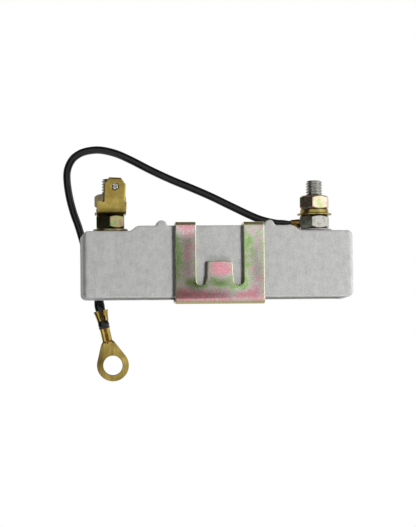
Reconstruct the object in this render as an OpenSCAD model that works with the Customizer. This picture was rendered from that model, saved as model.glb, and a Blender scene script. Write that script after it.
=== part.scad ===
// Ballast resistor for an ignition circuit: a ceramic trough that holds a resistance coil,
// two terminal studs, a folded spring clip and a short lead with a ring terminal.
// Millimetres. The origin is the clip's screw hole, on the face that meets the vehicle.
// +X runs along the ceramic, +Y points into the vehicle's panel, +Z runs up the studs.

/* [Ceramic body] */
// Length of the ceramic
body_len = 77.5; // [74:0.5:95]
// Depth of the ceramic from front to back
body_depth = 17; // [16.5:0.5:22]
// Height from the open underside to the stud seats
body_h = 19.1; // [18:0.1:26]
// Width of the trough from its front wall to its back wall
trough_w = 10.6; // [10.2:0.1:12]
// Thickness of the end walls
end_wall = 3; // [2:0.1:3.2]
// Thickness of the roof that carries the studs
roof_t = 4.5; // [3.5:0.1:5.5]
// Radius of the end corners, seen from the front
corner_r = 1.6; // [0.5:0.1:2.5]
// Radius of the upright edges
upright_r = 1.2; // [0.5:0.1:2]
// Radius of the long edges, which also clears the clip's bends
edge_r = 0.5; // [0.5:0.1:1.5]
// Radius of the trough's inner corners
trough_r = 1.5; // [0.5:0.1:2.5]
// Height of the raised pad between the studs
pad_h = 1.5; // [0.8:0.1:2.5]
// Length of each sloped end of the pad
pad_slope = 1.8; // [1:0.1:3]
// Radius where a slope meets the pad's flat top
pad_r = 2; // [0.5:0.1:3]
// Gap between the foot of the pad and the neck of the lead's lug
pad_gap = 0.05; // [0.05:0.05:1]
// Radius of the half-round stops beside the clip
stop_r = 1.5; // [1:0.1:2]
// Depth of the stops from the front of the ceramic
stop_depth = 5; // [3:0.1:6]

/* [Terminal studs] */
// Diameter of a stud over its thread
stud_d = 4.9; // [4.6:0.1:5]
// Diameter of a stud at the root of its thread
core_d = 4.1; // [3.8:0.05:4.2]
// Left stud's axis from the left end of the ceramic
stud_inset_left = 8.4; // [8.2:0.1:12]
// Right stud's axis from the right end of the ceramic
stud_inset_right = 10; // [8.2:0.1:13]
// Heights of the studs' tips above their seats: left, right
stud_tops = [15.4, 14.8]; // [13:0.1:20]
// Chamfer at the stud's tip
tip_chamfer = 0.5; // [0.2:0.1:0.8]
// Height of the hex head inside the trough
head_h = 3.5; // [2.5:0.1:4]
// Radial clearance between a stud's core and a nut
thread_gap = 0.05; // [0.03:0.01:0.1]
// Radial clearance of the stud in the ceramic and in the washers
stud_clear = 0.3; // [0.2:0.05:0.5]
// Width across flats of the nuts and heads
hex_af = 8; // [7:0.5:8]
// Height of a lower nut
lower_nut_h = 4.05; // [3:0.05:5]
// Height of an upper nut
upper_nut_h = 4; // [3:0.1:5]
// Turn of the nuts about the studs: left lower, left upper, right lower, right upper
nut_turns = [26, 2, 15, 17]; // [0:1:60]
// Inset of a nut's round end face from its flats
nut_rim = 0.3; // [0.05:0.05:0.4]
// Angle of the chamfer on a nut's corners
nut_chamfer = 36; // [20:1:40]
// Width of the countersink at each end of a nut's bore
nut_mouth = 0.35; // [0.2:0.05:0.5]

/* [Washers] */
// Outer diameter of the flat washers
washer_d = 10; // [9:0.1:10.2]
// Gap between a washer inside the trough and the trough's walls
inner_washer_gap = 0.5; // [0.4:0.05:0.8]
// Thickness of the washers inside the trough
inner_washer_t = 1; // [0.5:0.1:1.5]
// Thickness of the left base washer
left_washer_t = 1; // [0.4:0.1:1.4]
// Thickness of the right base washer
right_washer_t = 0.45; // [0.3:0.05:1]
// Thickness of the flat washer on the right stud
flat_washer_t = 0.5; // [0.3:0.05:1.2]
// Outer diameter of a spring washer
spring_d = 8.2; // [7.8:0.1:9]
// Thickness of a spring washer
spring_t = 1.15; // [1:0.05:1.6]
// Width of the slanted cut in a spring washer
spring_cut = 0.5; // [0.3:0.1:1]
// Slant of that cut
spring_slant = 30; // [20:1:40]
// Place of that cut round the stud: left, right
spring_turns = [120, 70]; // [0:5:355]

/* [Mounting clip] */
// Width of the clip
clip_w = 25.6; // [23:0.1:28]
// Thickness of the sheet
sheet_t = 0.9; // [0.6:0.1:1.2]
// Inside radius of the folds
fold_r = 0.6; // [0.3:0.1:0.7]
// Width of each arm
arm_w = 6; // [4.5:0.1:6.5]
// Height of the solid strip under the slots, above the ceramic's underside
strip_h = 3.4; // [2:0.1:5]
// Width of the tongue at its tip
tongue_w = 7.2; // [5.5:0.1:7.6]
// Width of the tongue at its root
tongue_root_w = 7.9; // [6:0.1:8.4]
// Height of the tongue from the bottom of the slots
tongue_h = 7; // [4:0.1:9]
// Corner radius of the tongue
tongue_r = 0.8; // [0.3:0.1:1.5]
// Drop of the floor below the ceramic's underside at the front, from which it rises to the back
floor_drop = 0.85; // [0.3:0.05:1.2]
// Depth of the top hooks over the ceramic
hook_len = 6.5; // [4:0.1:6.8]
// Clearance between the clip and the ceramic
fit_gap = 0.1; // [0.05:0.05:0.2]
// Play of the clip to each side between the stops, when centred
stop_play = 1.15; // [0.5:0.05:2]
// Gap that is left at the stop on the right
stop_gap = 0.05; // [0.05:0.05:0.5]
// Height of the back plate above the ceramic's underside
back_h = 19.5; // [18.7:0.1:20.5]
// Corner radius of the back plate
back_r = 2.5; // [1:0.1:4]
// Diameter of the screw hole
hole_d = 4.6; // [3.5:0.1:5.5]
// Height of the screw hole above the ceramic's underside
hole_h = 13; // [12:0.1:13.5]
// Inside diameter of the pressed boss, round the screw's head
boss_d = 8.6; // [7.5:0.1:9]
// Height of the boss behind the back plate
boss_h = 3; // [2:0.1:3.5]

/* [Resistance coil] */
// Diameter of the resistance wire
coil_wire_d = 0.8; // [0.5:0.1:1]
// Mean diameter of the coil
coil_d = 7.2; // [5:0.1:8]
// Pitch of the coil
coil_pitch = 1.6; // [1.3:0.1:1.65]
// Whole turns of the coil, to which half a turn is added
coil_turns = 27; // [18:1:28]
// Height of the coil's axis above the ceramic's underside
coil_h = 9; // [8:0.1:9.5]
// Clearance round the eyes at the ends of the coil
eye_clear = 0.1; // [0.05:0.05:0.2]

/* [Spade terminal] */
// Thickness of the spade's brass sheet
spade_t = 0.8; // [0.5:0.1:1]
// Width of the blade
blade_w = 6.3; // [4.8:0.1:6.4]
// Middle of the blade to the right of the stud
blade_shift = 0.65; // [0:0.05:0.7]
// Top of the blade above the left seat
blade_top = 15.5; // [14.5:0.1:18]
// Width of the root below the blade
root_w = 8.45; // [8.4:0.05:10]
// Top of the root above the left seat
root_top = 8.7; // [7.5:0.1:10]
// Chamfer of the blade's tip, across and down
blade_chamfer = [1.45, 1.95]; // [0.5:0.05:2]
// Diameter of the latch hole in the blade
latch_d = 1.9; // [1.2:0.1:2.2]
// Latch hole's centre below the blade's top
latch_drop = 2.5; // [2:0.1:3.5]
// Radius of the relief notches beside the blade
relief_r = 0.35; // [0.2:0.05:0.5]
// Inside radius of the spade's bend
spade_bend_r = 0.6; // [0.4:0.1:1]
// Clearance between the blade's back and the upper nut's corners
blade_clear = 0.4; // [0.2:0.1:1]
// Lean of the blade to the right
blade_lean = 2.5; // [0:0.5:4]
// Radius of the spade's base round the stud
spade_base_r = 4.5; // [4.2:0.1:5]

/* [Lead] */
// Diameter of the lead over its insulation
lead_d = 2.2; // [1.6:0.1:2.2]
// Diameter of the bundle of bare strands
strands_d = 1; // [0.8:0.1:1.1]
// Clearance of the lead and the strands in their crimps
crimp_gap = 0.05; // [0.03:0.01:0.1]
// Thickness of the lug's sheet
lug_t = 0.3; // [0.2:0.05:0.35]
// Outer diameter of the lug's ring
lug_d = 8.8; // [8:0.1:9.5]
// Width of the lug's neck
lug_neck_w = 3; // [2:0.1:4]
// Distance of the neck's foot outside the base washer's edge
neck_gap = 0.25; // [0.25:0.05:0.5]
// Inner end of the lug's barrel from the stud's axis
lug_barrel_start = 4.65; // [4.65:0.05:4.9]
// Outer end of the lug's barrel from the stud's axis
lug_reach = 6.95; // [6.5:0.05:8]
// Length of the barrel that rests on the neck
lug_lap = 1.35; // [1.2:0.05:1.6]
// Outer diameter of the lug's barrel
lug_barrel_d = 1.6; // [1.6:0.1:2.2]
// Height of the lug's barrel axis above the right seat
lug_axis_h = 2.7; // [2.7:0.1:3.5]

/* [Ring terminal] */
// Thickness of the ring terminal's sheet
ring_t = 0.6; // [0.4:0.1:0.8]
// Outer diameter of the ring
ring_d = 9.3; // [8.5:0.1:11]
// Diameter of the ring's hole
ring_hole_d = 5.6; // [4.2:0.1:6]
// Angle up the ring at which its neck starts
neck_angle = 26; // [24:1:50]
// Width of the ring's shoulder below the crimps
shoulder_w = 4.1; // [3.4:0.1:5]
// Distance from the hole's centre up to the shoulder
shoulder_h = 6.5; // [5.5:0.1:7]
// Width of the strand crimp and of the floor under both crimps
crimp_w = 2.85; // [2.7:0.05:3.2]
// Height of the strand crimp above the floor
crimp_h = 1.75; // [1.6:0.05:2]
// Start of the strand crimp from the hole's centre
crimp_start = 7.1; // [6.9:0.1:7.5]
// Length of the strand crimp
crimp_len = 3.8; // [3:0.1:3.8]
// Distance from the hole's centre up to the end of the insulation
ring_reach = 11; // [10.9:0.05:12]
// Length of bare insulation between the crimps
crimp_space = 2; // [1:0.1:2.5]
// Length of the wings that grip the insulation
wing_len = 3.2; // [2:0.1:3.4]
// Thickness of the wings
wing_t = 0.6; // [0.4:0.1:0.8]
// Width of the seam between the wings
wing_seam = 0.3; // [0.2:0.1:0.6]
// Strand ends that stand out of the strand crimp
strand_stub = 0.5; // [0.2:0.1:1]

/* [Hidden] */
$fn = 64;
eps = 0.01;
far = 60;

// Depths, from the screw face at 0 towards the front
y_plate = -boss_h;
y_back = y_plate - sheet_t - fit_gap;
y_front = y_back - body_depth;
y_stud = y_back - body_depth / 2;

// Heights, from the screw hole at 0
z_under = -hole_h;
z_seat = z_under + body_h;
z_pad = z_seat + pad_h;
z_roof = z_seat - roof_t;

// The clip rests by the right-hand stop, so the studs' middle lies to its left
x_studs = stop_gap - stop_play;
x_body = x_studs + (stud_inset_right - stud_inset_left) / 2;
x_left = x_body - body_len / 2 + stud_inset_left;
x_right = x_body + body_len / 2 - stud_inset_right;
stop_x = clip_w / 2 + stop_play + stop_r;
lug_neck_start = washer_d / 2 + neck_gap;
pad_half = (x_right - x_left) / 2 - lug_neck_start - pad_gap;
crown_steps = 4;

// Stud stacks, heights above the seats
left_nut_z = left_washer_t;
spade_z = left_nut_z + lower_nut_h;
left_spring_z = spade_z + spade_t;
left_upper_z = left_spring_z + spring_t;
lug_z = 0;
right_washer_z = lug_z + lug_t;
right_nut_z = right_washer_z + right_washer_t;
flat_washer_z = right_nut_z + lower_nut_h;
right_spring_z = flat_washer_z + flat_washer_t;
right_upper_z = right_spring_z + spring_t;
washer_hole_d = stud_d + 2 * stud_clear;
inner_washer_d = trough_w - 2 * inner_washer_gap;
nut_bore_r = core_d / 2 + thread_gap;
hex_corner_r = hex_af / 2 / cos(30);

// Stud heads and coil eyes inside the trough
eye_z = z_roof - inner_washer_t - eye_clear / 2 - coil_wire_d / 2;
head_top_z = eye_z - coil_wire_d / 2 - eye_clear / 2;
eye_r = stud_d / 2 + coil_wire_d / 2 + eye_clear;
coil_half = (coil_turns + 0.5) * coil_pitch / 2;
coil_z = z_under + coil_h;
coil_sides = 6;
coil_steps = 8;
tail_steps = 6;
eye_steps = 14;
eye_sweep = 280;

// Route of the lead, from the lug to the end of its insulation at the ring terminal
lead_route = [
    [21.5, -12.5, 8.8], [17, -12.5, 8.8], [13.2, -12.2, 9.65], [9.8, -11.8, 11.05], [4, -11.4, 13.9],
    [-1.6, -10.8, 16.7], [-7.4, -10.2, 19.3], [-13, -9.6, 21.7], [-18.8, -9, 24.5], [-24.5, -8.2, 27.55],
    [-28.8, -7.5, 29.5], [-33, -6.8, 30.5], [-36.3, -6, 30.4], [-39, -5.2, 29.6], [-41.15, -4.4, 27.9],
    [-42.45, -3.7, 25], [-42.55, -3.2, 21.6], [-41.85, -2.7, 17], [-40.7, -2.3, 12.6], [-39.2, -2, 8.3],
    [-37.2, -2, 1.3], [-35.1, -2, -6], [-33.8, -2.3, -11.5], [-33.3, -2.8, -15.2], [-32, -2.8, -21]
];
lead_sides = 8;
lead_end = lead_route[len(lead_route) - 1];
lead_tail = lead_end - lead_route[len(lead_route) - 2];
ring_lean = atan2(lead_tail.x, -lead_tail.z);

// Vectors and swept tubes
function unit(v) = v / norm(v);
function across(v, t) = unit(v - (v * t) * t);
function tangents(path) = [
    for (i = [0 : len(path) - 1])
        unit(path[min(i + 1, len(path) - 1)] - path[max(i - 1, 0)])
];
function carried(ts, seed) = [
    for (i = 0, n = across(seed, ts[0]); i < len(ts); i = i + 1, n = i < len(ts) ? across(n, ts[i]) : n) n
];
function tube_points(path, r, sides, seed) =
    let (ts = tangents(path), ns = carried(ts, seed))
    [
        for (i = [0 : len(path) - 1], k = [0 : sides - 1])
            let (a = 360 * (k + 0.5) / sides)
            path[i] + r * (cos(a) * ns[i] + sin(a) * cross(ts[i], ns[i]))
    ];
function tube_faces(rings, sides) = concat(
    [[for (k = [0 : sides - 1]) k]],
    [[for (k = [sides - 1 : -1 : 0]) (rings - 1) * sides + k]],
    [
        for (i = [0 : rings - 2], k = [0 : sides - 1], half = [0, 1])
            let (a = i * sides + k, b = i * sides + (k + 1) % sides)
            half == 0 ? [b, a, a + sides] : [b, a + sides, b + sides]
    ]
);

module tube(path, d, sides, seed) {
    polyhedron(tube_points(path, d / 2, sides, seed), tube_faces(len(path), sides), convexity = 10);
}

// Flat outlines
module rounded(size, r) {
    translate([r, 0]) square([size.x - 2 * r, size.y]);
    translate([0, r]) square([size.x, size.y - 2 * r]);
    for (x = [r, size.x - r], y = [r, size.y - r]) {
        translate([x, y]) circle(r);
    }
}

module ring_outline(outer_d, inner_d) {
    difference() {
        circle(d = outer_d);
        circle(d = inner_d);
    }
}

// A prism drawn as seen from the front (x, z), from y0 back to y1
module from_front(y0, y1) {
    translate([0, y1, 0]) rotate([90, 0, 0]) linear_extrude(y1 - y0) children();
}

// A prism drawn as seen from the right-hand end (y, z), from x0 to x1
module from_end(x0, x1) {
    translate([x0, 0, 0]) rotate([90, 0, 90]) linear_extrude(x1 - x0) children();
}

module at_left(z) {
    translate([x_left, y_stud, z_seat + z]) children();
}

module at_right(z) {
    translate([x_right, y_stud, z_seat + z]) children();
}

// Ceramic
module end_outline(top) {
    translate([y_front, z_under]) rounded([body_depth, top - z_under], edge_r);
}

module pad_outline() {
    angle = atan2(pad_h, pad_slope);
    run = pad_r * tan(angle / 2);
    crown = [
        for (i = [0 : crown_steps])
            let (a = 90 - angle * i / crown_steps)
            pad_r * [cos(a), sin(a) - 1]
    ];
    half = concat(
        [for (p = crown) [pad_half - pad_slope - run + p.x, z_pad + p.y]],
        [[pad_half, z_seat], [pad_half, z_seat - edge_r - eps]]
    );
    mirrored = [for (i = [len(half) - 1 : -1 : 0]) [-half[i].x, half[i].y]];
    translate([x_studs, 0]) polygon(concat(half, mirrored));
}

module ceramic_outside() {
    x0 = x_body - body_len / 2;
    intersection() {
        from_front(y_front, y_back) translate([x0, z_under]) rounded([body_len, body_h], corner_r);
        from_end(x0, x0 + body_len) end_outline(z_seat);
        translate([x0, y_front, z_under]) linear_extrude(body_h) rounded([body_len, body_depth], upright_r);
    }
    intersection() {
        from_front(y_front, y_back) pad_outline();
        from_end(x_studs - pad_half, x_studs + pad_half) end_outline(z_pad);
    }
    intersection() {
        for (side = [-1, 1]) {
            from_front(y_front, y_front + stop_depth)
                translate([x_studs + side * stop_x, z_pad]) circle(stop_r);
        }
        from_end(x_studs - stop_x - stop_r, x_studs + stop_x + stop_r) end_outline(z_pad + stop_r + edge_r);
    }
}

module trough() {
    size = [body_len - 2 * end_wall, trough_w];
    translate([x_body - size.x / 2, y_stud - size.y / 2, z_under - eps])
        linear_extrude(z_roof - z_under + eps) rounded(size, trough_r);
}

module ceramic_body() {
    color("Gainsboro") difference() {
        ceramic_outside();
        trough();
        at_left(-roof_t - eps) cylinder(d = washer_hole_d, h = roof_t + 2 * eps);
        at_right(-roof_t - eps) cylinder(d = washer_hole_d, h = roof_t + 2 * eps);
    }
}

// Coil: an eye round each stud, a tail, and the turns between them
function turn_point(i) =
    let (a = 180 + 360 * i / coil_steps, x = -coil_half + coil_pitch * i / coil_steps)
    [x_studs + x, y_stud + coil_d / 2 * cos(a), coil_z + coil_d / 2 * sin(a)];
function blend(p, m, q, n, t) =
    (2 * t ^ 3 - 3 * t ^ 2 + 1) * p + (t ^ 3 - 2 * t ^ 2 + t) * m
    + (3 * t ^ 2 - 2 * t ^ 3) * q + (t ^ 3 - t ^ 2) * n;
function eye_point(a) = [x_right + eye_r * cos(a), y_stud + eye_r * sin(a), eye_z];
function right_tail() =
    let (
        p = turn_point((coil_turns + 0.5) * coil_steps),
        q = [x_right - hex_corner_r - coil_wire_d, y_stud + eye_r, eye_z],
        rise = q.z - p.z
    )
    concat(
        [for (i = [1 : tail_steps]) blend(p, [0, 0, rise], q, [rise, 0, 0], i / tail_steps)],
        [for (i = [0 : eye_steps]) eye_point(90 - eye_sweep * i / eye_steps)]
    );
function about_middle(p) = [2 * x_studs - p.x, 2 * y_stud - p.y, p.z];
function coil_path() =
    let (tail = right_tail())
    concat(
        [for (i = [len(tail) - 1 : -1 : 0]) about_middle(tail[i])],
        [for (i = [0 : (coil_turns + 0.5) * coil_steps]) turn_point(i)],
        tail
    );

module resistance_coil() {
    color("DimGray") tube(coil_path(), coil_wire_d, coil_sides, [0, 0, 1]);
}

// Studs and nuts
module hex_blank(h) {
    rim = hex_af / 2 - nut_rim;
    cut = (hex_corner_r - rim) * tan(nut_chamfer);
    intersection() {
        cylinder(r = hex_corner_r, h = h, $fn = 6);
        rotate_extrude() polygon([
            [0, 0], [rim, 0], [hex_corner_r, cut], [hex_corner_r, h - cut], [rim, h], [0, h]
        ]);
    }
}

module nut(h, turn) {
    mouth_r = nut_bore_r + nut_mouth;
    difference() {
        rotate(turn) hex_blank(h);
        translate([0, 0, -eps]) cylinder(r = nut_bore_r, h = h + 2 * eps);
        translate([0, 0, -eps]) cylinder(r1 = mouth_r, r2 = nut_bore_r, h = nut_mouth);
        translate([0, 0, h - nut_mouth + eps]) cylinder(r1 = nut_bore_r, r2 = mouth_r, h = nut_mouth);
    }
}

// A stud stands at its seat, drawn at its core up to the top of its upper nut and over its thread above.
module stud(top, grip_top, turn) {
    head_z = head_top_z - z_seat;
    tip_r = stud_d / 2 - tip_chamfer;
    translate([0, 0, head_z - head_h]) rotate(turn) hex_blank(head_h);
    translate([0, 0, head_z - eps]) cylinder(d = core_d, h = grip_top - head_z + 2 * eps);
    translate([0, 0, grip_top]) cylinder(d = stud_d, h = top - tip_chamfer - grip_top);
    translate([0, 0, top - tip_chamfer]) cylinder(r1 = stud_d / 2, r2 = tip_r, h = tip_chamfer);
}

module stud_left() {
    color("DarkGray") at_left(0) stud(stud_tops[0], left_upper_z + upper_nut_h, nut_turns[0]);
}

module stud_right() {
    color("DarkGray") at_right(0) stud(stud_tops[1], right_upper_z + upper_nut_h, nut_turns[2]);
}

module lower_nut_left() {
    color("DarkKhaki") at_left(left_nut_z) nut(lower_nut_h, nut_turns[0]);
}

module upper_nut_left() {
    color("DarkKhaki") at_left(left_upper_z) nut(upper_nut_h, nut_turns[1]);
}

module lower_nut_right() {
    color("DarkKhaki") at_right(right_nut_z) nut(lower_nut_h, nut_turns[2]);
}

module upper_nut_right() {
    color("DarkKhaki") at_right(right_upper_z) nut(upper_nut_h, nut_turns[3]);
}

// Washers
module flat_washer(outer_d, t) {
    linear_extrude(t) ring_outline(outer_d, washer_hole_d);
}

module spring_washer(turn) {
    difference() {
        linear_extrude(spring_t) ring_outline(spring_d, washer_hole_d);
        rotate(turn) translate([spring_d / 2, 0, spring_t / 2]) rotate([spring_slant, 0, 0])
            cube([spring_d, spring_cut, 4 * spring_t], center = true);
    }
}

module inner_washer_left() {
    color("Silver") at_left(-roof_t - inner_washer_t) flat_washer(inner_washer_d, inner_washer_t);
}

module inner_washer_right() {
    color("Silver") at_right(-roof_t - inner_washer_t) flat_washer(inner_washer_d, inner_washer_t);
}

module base_washer_left() {
    color("DarkKhaki") at_left(0) flat_washer(washer_d, left_washer_t);
}

module base_washer_right() {
    color("DarkKhaki") at_right(right_washer_z) flat_washer(washer_d, right_washer_t);
}

module flat_washer_right() {
    color("DarkKhaki") at_right(flat_washer_z) flat_washer(washer_d, flat_washer_t);
}

module spring_washer_left() {
    color("DarkKhaki") at_left(left_spring_z) spring_washer(spring_turns[0]);
}

module spring_washer_right() {
    color("DarkKhaki") at_right(right_spring_z) spring_washer(spring_turns[1]);
}

// Spade terminal: a flat base on the left stud, folded up in front of it
module blade_outline(low) {
    rotate(-blade_lean) difference() {
        union() {
            translate([-root_w / 2, low]) square([root_w, root_top - spade_z - low]);
            translate([blade_shift, blade_top - spade_z]) polygon([
                [-blade_w / 2, low - blade_top + spade_z], [blade_w / 2, low - blade_top + spade_z],
                [blade_w / 2, -blade_chamfer.y], [blade_w / 2 - blade_chamfer.x, 0],
                [blade_chamfer.x - blade_w / 2, 0], [-blade_w / 2, -blade_chamfer.y]
            ]);
        }
        translate([blade_shift, blade_top - latch_drop - spade_z]) circle(d = latch_d);
        for (side = [-1, 1]) {
            translate([blade_shift + side * blade_w / 2, root_top - spade_z]) circle(relief_r);
        }
    }
}

module spade_terminal() {
    bend_out = spade_bend_r + spade_t;
    blade_y = -hex_corner_r - blade_clear;
    bend_y = blade_y + spade_bend_r;
    color("Goldenrod") at_left(spade_z) {
        linear_extrude(spade_t) difference() {
            union() {
                circle(spade_base_r);
                translate([-root_w / 2, bend_y]) square([root_w, -bend_y]);
            }
            circle(d = washer_hole_d);
        }
        from_end(-root_w / 2, root_w / 2) intersection() {
            translate([bend_y, bend_out]) difference() {
                circle(bend_out);
                circle(spade_bend_r);
            }
            translate([bend_y - bend_out, 0]) square(bend_out);
        }
        intersection() {
            from_front(blade_y - spade_t, blade_y) blade_outline(0);
            translate([-far / 2, -far / 2, bend_out]) cube(far);
        }
    }
}

// Mounting clip: one folded sheet, drawn from its end and pierced from the front
module fold(centre, quadrant) {
    translate(centre) rotate(90 * quadrant) intersection() {
        difference() {
            circle(fold_r + sheet_t);
            circle(fold_r);
        }
        square(fold_r + sheet_t);
    }
}

module clip_outline() {
    front = y_front - fit_gap;
    back = y_back + fit_gap;
    low = z_under - fit_gap;
    dip = low - floor_drop;
    high = z_pad + fit_gap;
    translate([front - sheet_t, dip + fold_r]) square([sheet_t, high - dip - 2 * fold_r]);
    polygon([
        [front + fold_r, dip - sheet_t], [back - fold_r, low - sheet_t],
        [back - fold_r, low], [front + fold_r, dip]
    ]);
    translate([back, low + fold_r]) square([sheet_t, z_under + back_h - low - fold_r]);
    translate([front + fold_r, high]) square([y_front + hook_len - front - fold_r, sheet_t]);
    fold([front + fold_r, high - fold_r], 1);
    fold([front + fold_r, dip + fold_r], 2);
    fold([back - fold_r, low + fold_r], 3);
}

module tongue_outline(low) {
    tip = low + tongue_h;
    side = (tongue_root_w - tongue_w) / 2;
    polygon([
        [-tongue_root_w / 2, low], [tongue_root_w / 2, low], [tongue_root_w / 2 - side, tip - tongue_r],
        [tongue_w / 2 - tongue_r, tip - tongue_r], [tongue_w / 2 - tongue_r, tip],
        [tongue_r - tongue_w / 2, tip], [tongue_r - tongue_w / 2, tip - tongue_r],
        [side - tongue_root_w / 2, tip - tongue_r]
    ]);
    for (x = [-1, 1]) {
        translate([x * (tongue_w / 2 - tongue_r), tip - tongue_r]) circle(tongue_r);
    }
}

module window_outline() {
    half = clip_w / 2 - arm_w;
    slot_r = (half - tongue_root_w / 2) / 2;
    low = z_under + strip_h;
    difference() {
        translate([-half, low + slot_r]) square([2 * half, far]);
        tongue_outline(low);
    }
    for (side = [-1, 1]) {
        translate([side * (half - slot_r), low + slot_r]) circle(slot_r);
    }
}

module back_corners() {
    top = z_under + back_h;
    for (side = [-1, 1]) {
        difference() {
            translate([side * (clip_w / 2 - back_r / 2), top - back_r / 2])
                square(back_r + eps, center = true);
            translate([side * (clip_w / 2 - back_r), top - back_r]) circle(back_r);
        }
    }
}

module boss() {
    rim = boss_d / 2;
    rotate([90, 0, 0]) rotate_extrude() polygon([
        [hole_d / 2, 0], [rim, 0], [rim + sheet_t, sheet_t], [rim + sheet_t, boss_h + eps],
        [rim, boss_h + eps], [rim, sheet_t], [hole_d / 2, sheet_t]
    ]);
}

module mounting_clip() {
    color("Peru") {
        difference() {
            from_end(-clip_w / 2, clip_w / 2) clip_outline();
            from_front(y_front - far, y_front + hook_len + fit_gap) window_outline();
            from_front(y_plate - sheet_t - eps, y_plate + eps) back_corners();
            rotate([90, 0, 0]) cylinder(d = boss_d, h = boss_h + sheet_t + eps);
        }
        boss();
    }
}

// Lead lug: a ring under the right base washer, a neck raised past its edge and a barrel on the strands
module lug_neck() {
    floor_z = lug_axis_h - lug_z - lug_barrel_d / 2;
    rise = lug_barrel_start - lug_neck_start + lug_lap;
    start = -lug_neck_start;
    slant = lug_t * norm([rise, floor_z]) / floor_z;
    translate([0, lug_neck_w / 2, 0]) rotate([90, 0, 0]) linear_extrude(lug_neck_w) polygon([
        [start + slant, 0], [start, 0], [start - rise, floor_z],
        [start - rise, floor_z + lug_t], [start - rise + slant, floor_z + lug_t]
    ]);
}

module lead_lug() {
    color("Goldenrod") at_right(lug_z) difference() {
        union() {
            cylinder(d = lug_d, h = lug_t);
            translate([-lug_neck_start, -lug_neck_w / 2, 0]) cube([lug_neck_start, lug_neck_w, lug_t]);
            lug_neck();
            translate([-lug_reach, 0, lug_axis_h - lug_z]) rotate([0, 90, 0])
                cylinder(d = lug_barrel_d, h = lug_reach - lug_barrel_start);
        }
        translate([0, 0, -eps]) cylinder(d = washer_hole_d, h = lug_t + 2 * eps);
        translate([-lug_reach - eps, 0, lug_axis_h - lug_z]) rotate([0, 90, 0])
            cylinder(d = strands_d + 2 * crimp_gap, h = lug_reach - lug_barrel_start + 2 * eps);
    }
}

module strands_lug() {
    color("Chocolate") at_right(lug_axis_h) translate([-lug_reach, 0, 0]) rotate([0, 90, 0])
        cylinder(d = strands_d, h = lug_reach - lug_barrel_start);
}

// Lead
module lead_wire() {
    color("Black") tube(lead_route, lead_d, lead_sides, [0, 1, 0]);
}

// Ring terminal, drawn with its hole at the origin and its crimps up +Z, seen from the front.
// Its floor's front face lies at y = 0, behind the lead's axis.
module on_lead_end() {
    translate(lead_end) rotate([0, -ring_lean, 0])
        translate([0, lead_d / 2 + crimp_gap, -ring_reach]) children();
}

module ring_plate() {
    foot = ring_d / 2 * [cos(neck_angle), sin(neck_angle)];
    wing_end = ring_reach + crimp_space + wing_len;
    difference() {
        union() {
            circle(d = ring_d);
            polygon([
                [-foot.x, foot.y], [foot.x, foot.y], [shoulder_w / 2, shoulder_h],
                [crimp_w / 2, crimp_start], [-crimp_w / 2, crimp_start], [-shoulder_w / 2, shoulder_h]
            ]);
            translate([-crimp_w / 2, crimp_start - eps]) square([crimp_w, wing_end - crimp_start + eps]);
        }
        circle(d = ring_hole_d);
    }
}

module strand_crimp_outline() {
    hump_r = crimp_w / 4;
    translate([-crimp_w / 2, -eps]) square([crimp_w, crimp_h - hump_r + eps]);
    for (side = [-1, 1]) {
        translate([side * hump_r, crimp_h - hump_r]) circle(hump_r);
    }
}

module ring_terminal() {
    bore_d = strands_d + 2 * crimp_gap;
    axis_n = lead_d / 2 + crimp_gap;
    grip_d = lead_d + 2 * crimp_gap;
    color("Goldenrod") on_lead_end() difference() {
        union() {
            from_front(0, ring_t) ring_plate();
            translate([0, 0, crimp_start]) linear_extrude(crimp_len) mirror([0, 1]) strand_crimp_outline();
            translate([0, -axis_n, ring_reach + crimp_space]) linear_extrude(wing_len) difference() {
                circle(d = grip_d + 2 * wing_t);
                translate([-wing_seam / 2, -grip_d]) square([wing_seam, grip_d]);
            }
        }
        translate([0, -bore_d / 2, crimp_start - eps]) cylinder(d = bore_d, h = crimp_len + 2 * eps);
        translate([0, -axis_n, ring_reach + crimp_space - eps]) cylinder(d = grip_d, h = wing_len + 2 * eps);
    }
}

module strands_ring() {
    start = crimp_start - strand_stub;
    color("Chocolate") on_lead_end() translate([0, -strands_d / 2 - crimp_gap, start])
        cylinder(d = strands_d, h = ring_reach - start);
}

ceramic_body();
resistance_coil();
stud_left();
stud_right();
inner_washer_left();
inner_washer_right();
base_washer_left();
base_washer_right();
lower_nut_left();
lower_nut_right();
spade_terminal();
flat_washer_right();
spring_washer_left();
spring_washer_right();
upper_nut_left();
upper_nut_right();
mounting_clip();
lead_lug();
lead_wire();
ring_terminal();
strands_lug();
strands_ring();
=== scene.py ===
"""Studio scene of a ceramic ballast resistor with terminal hardware, a spring clip and a short lead.

The part's places and sizes are in millimetres in its own frame, and those of the studio are in metres
unless a name says otherwise.
"""

import logging
import math
from collections.abc import Callable, Sequence
from dataclasses import dataclass
from enum import Enum

import bmesh
import bpy
from mathutils import Matrix, Vector, noise

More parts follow.
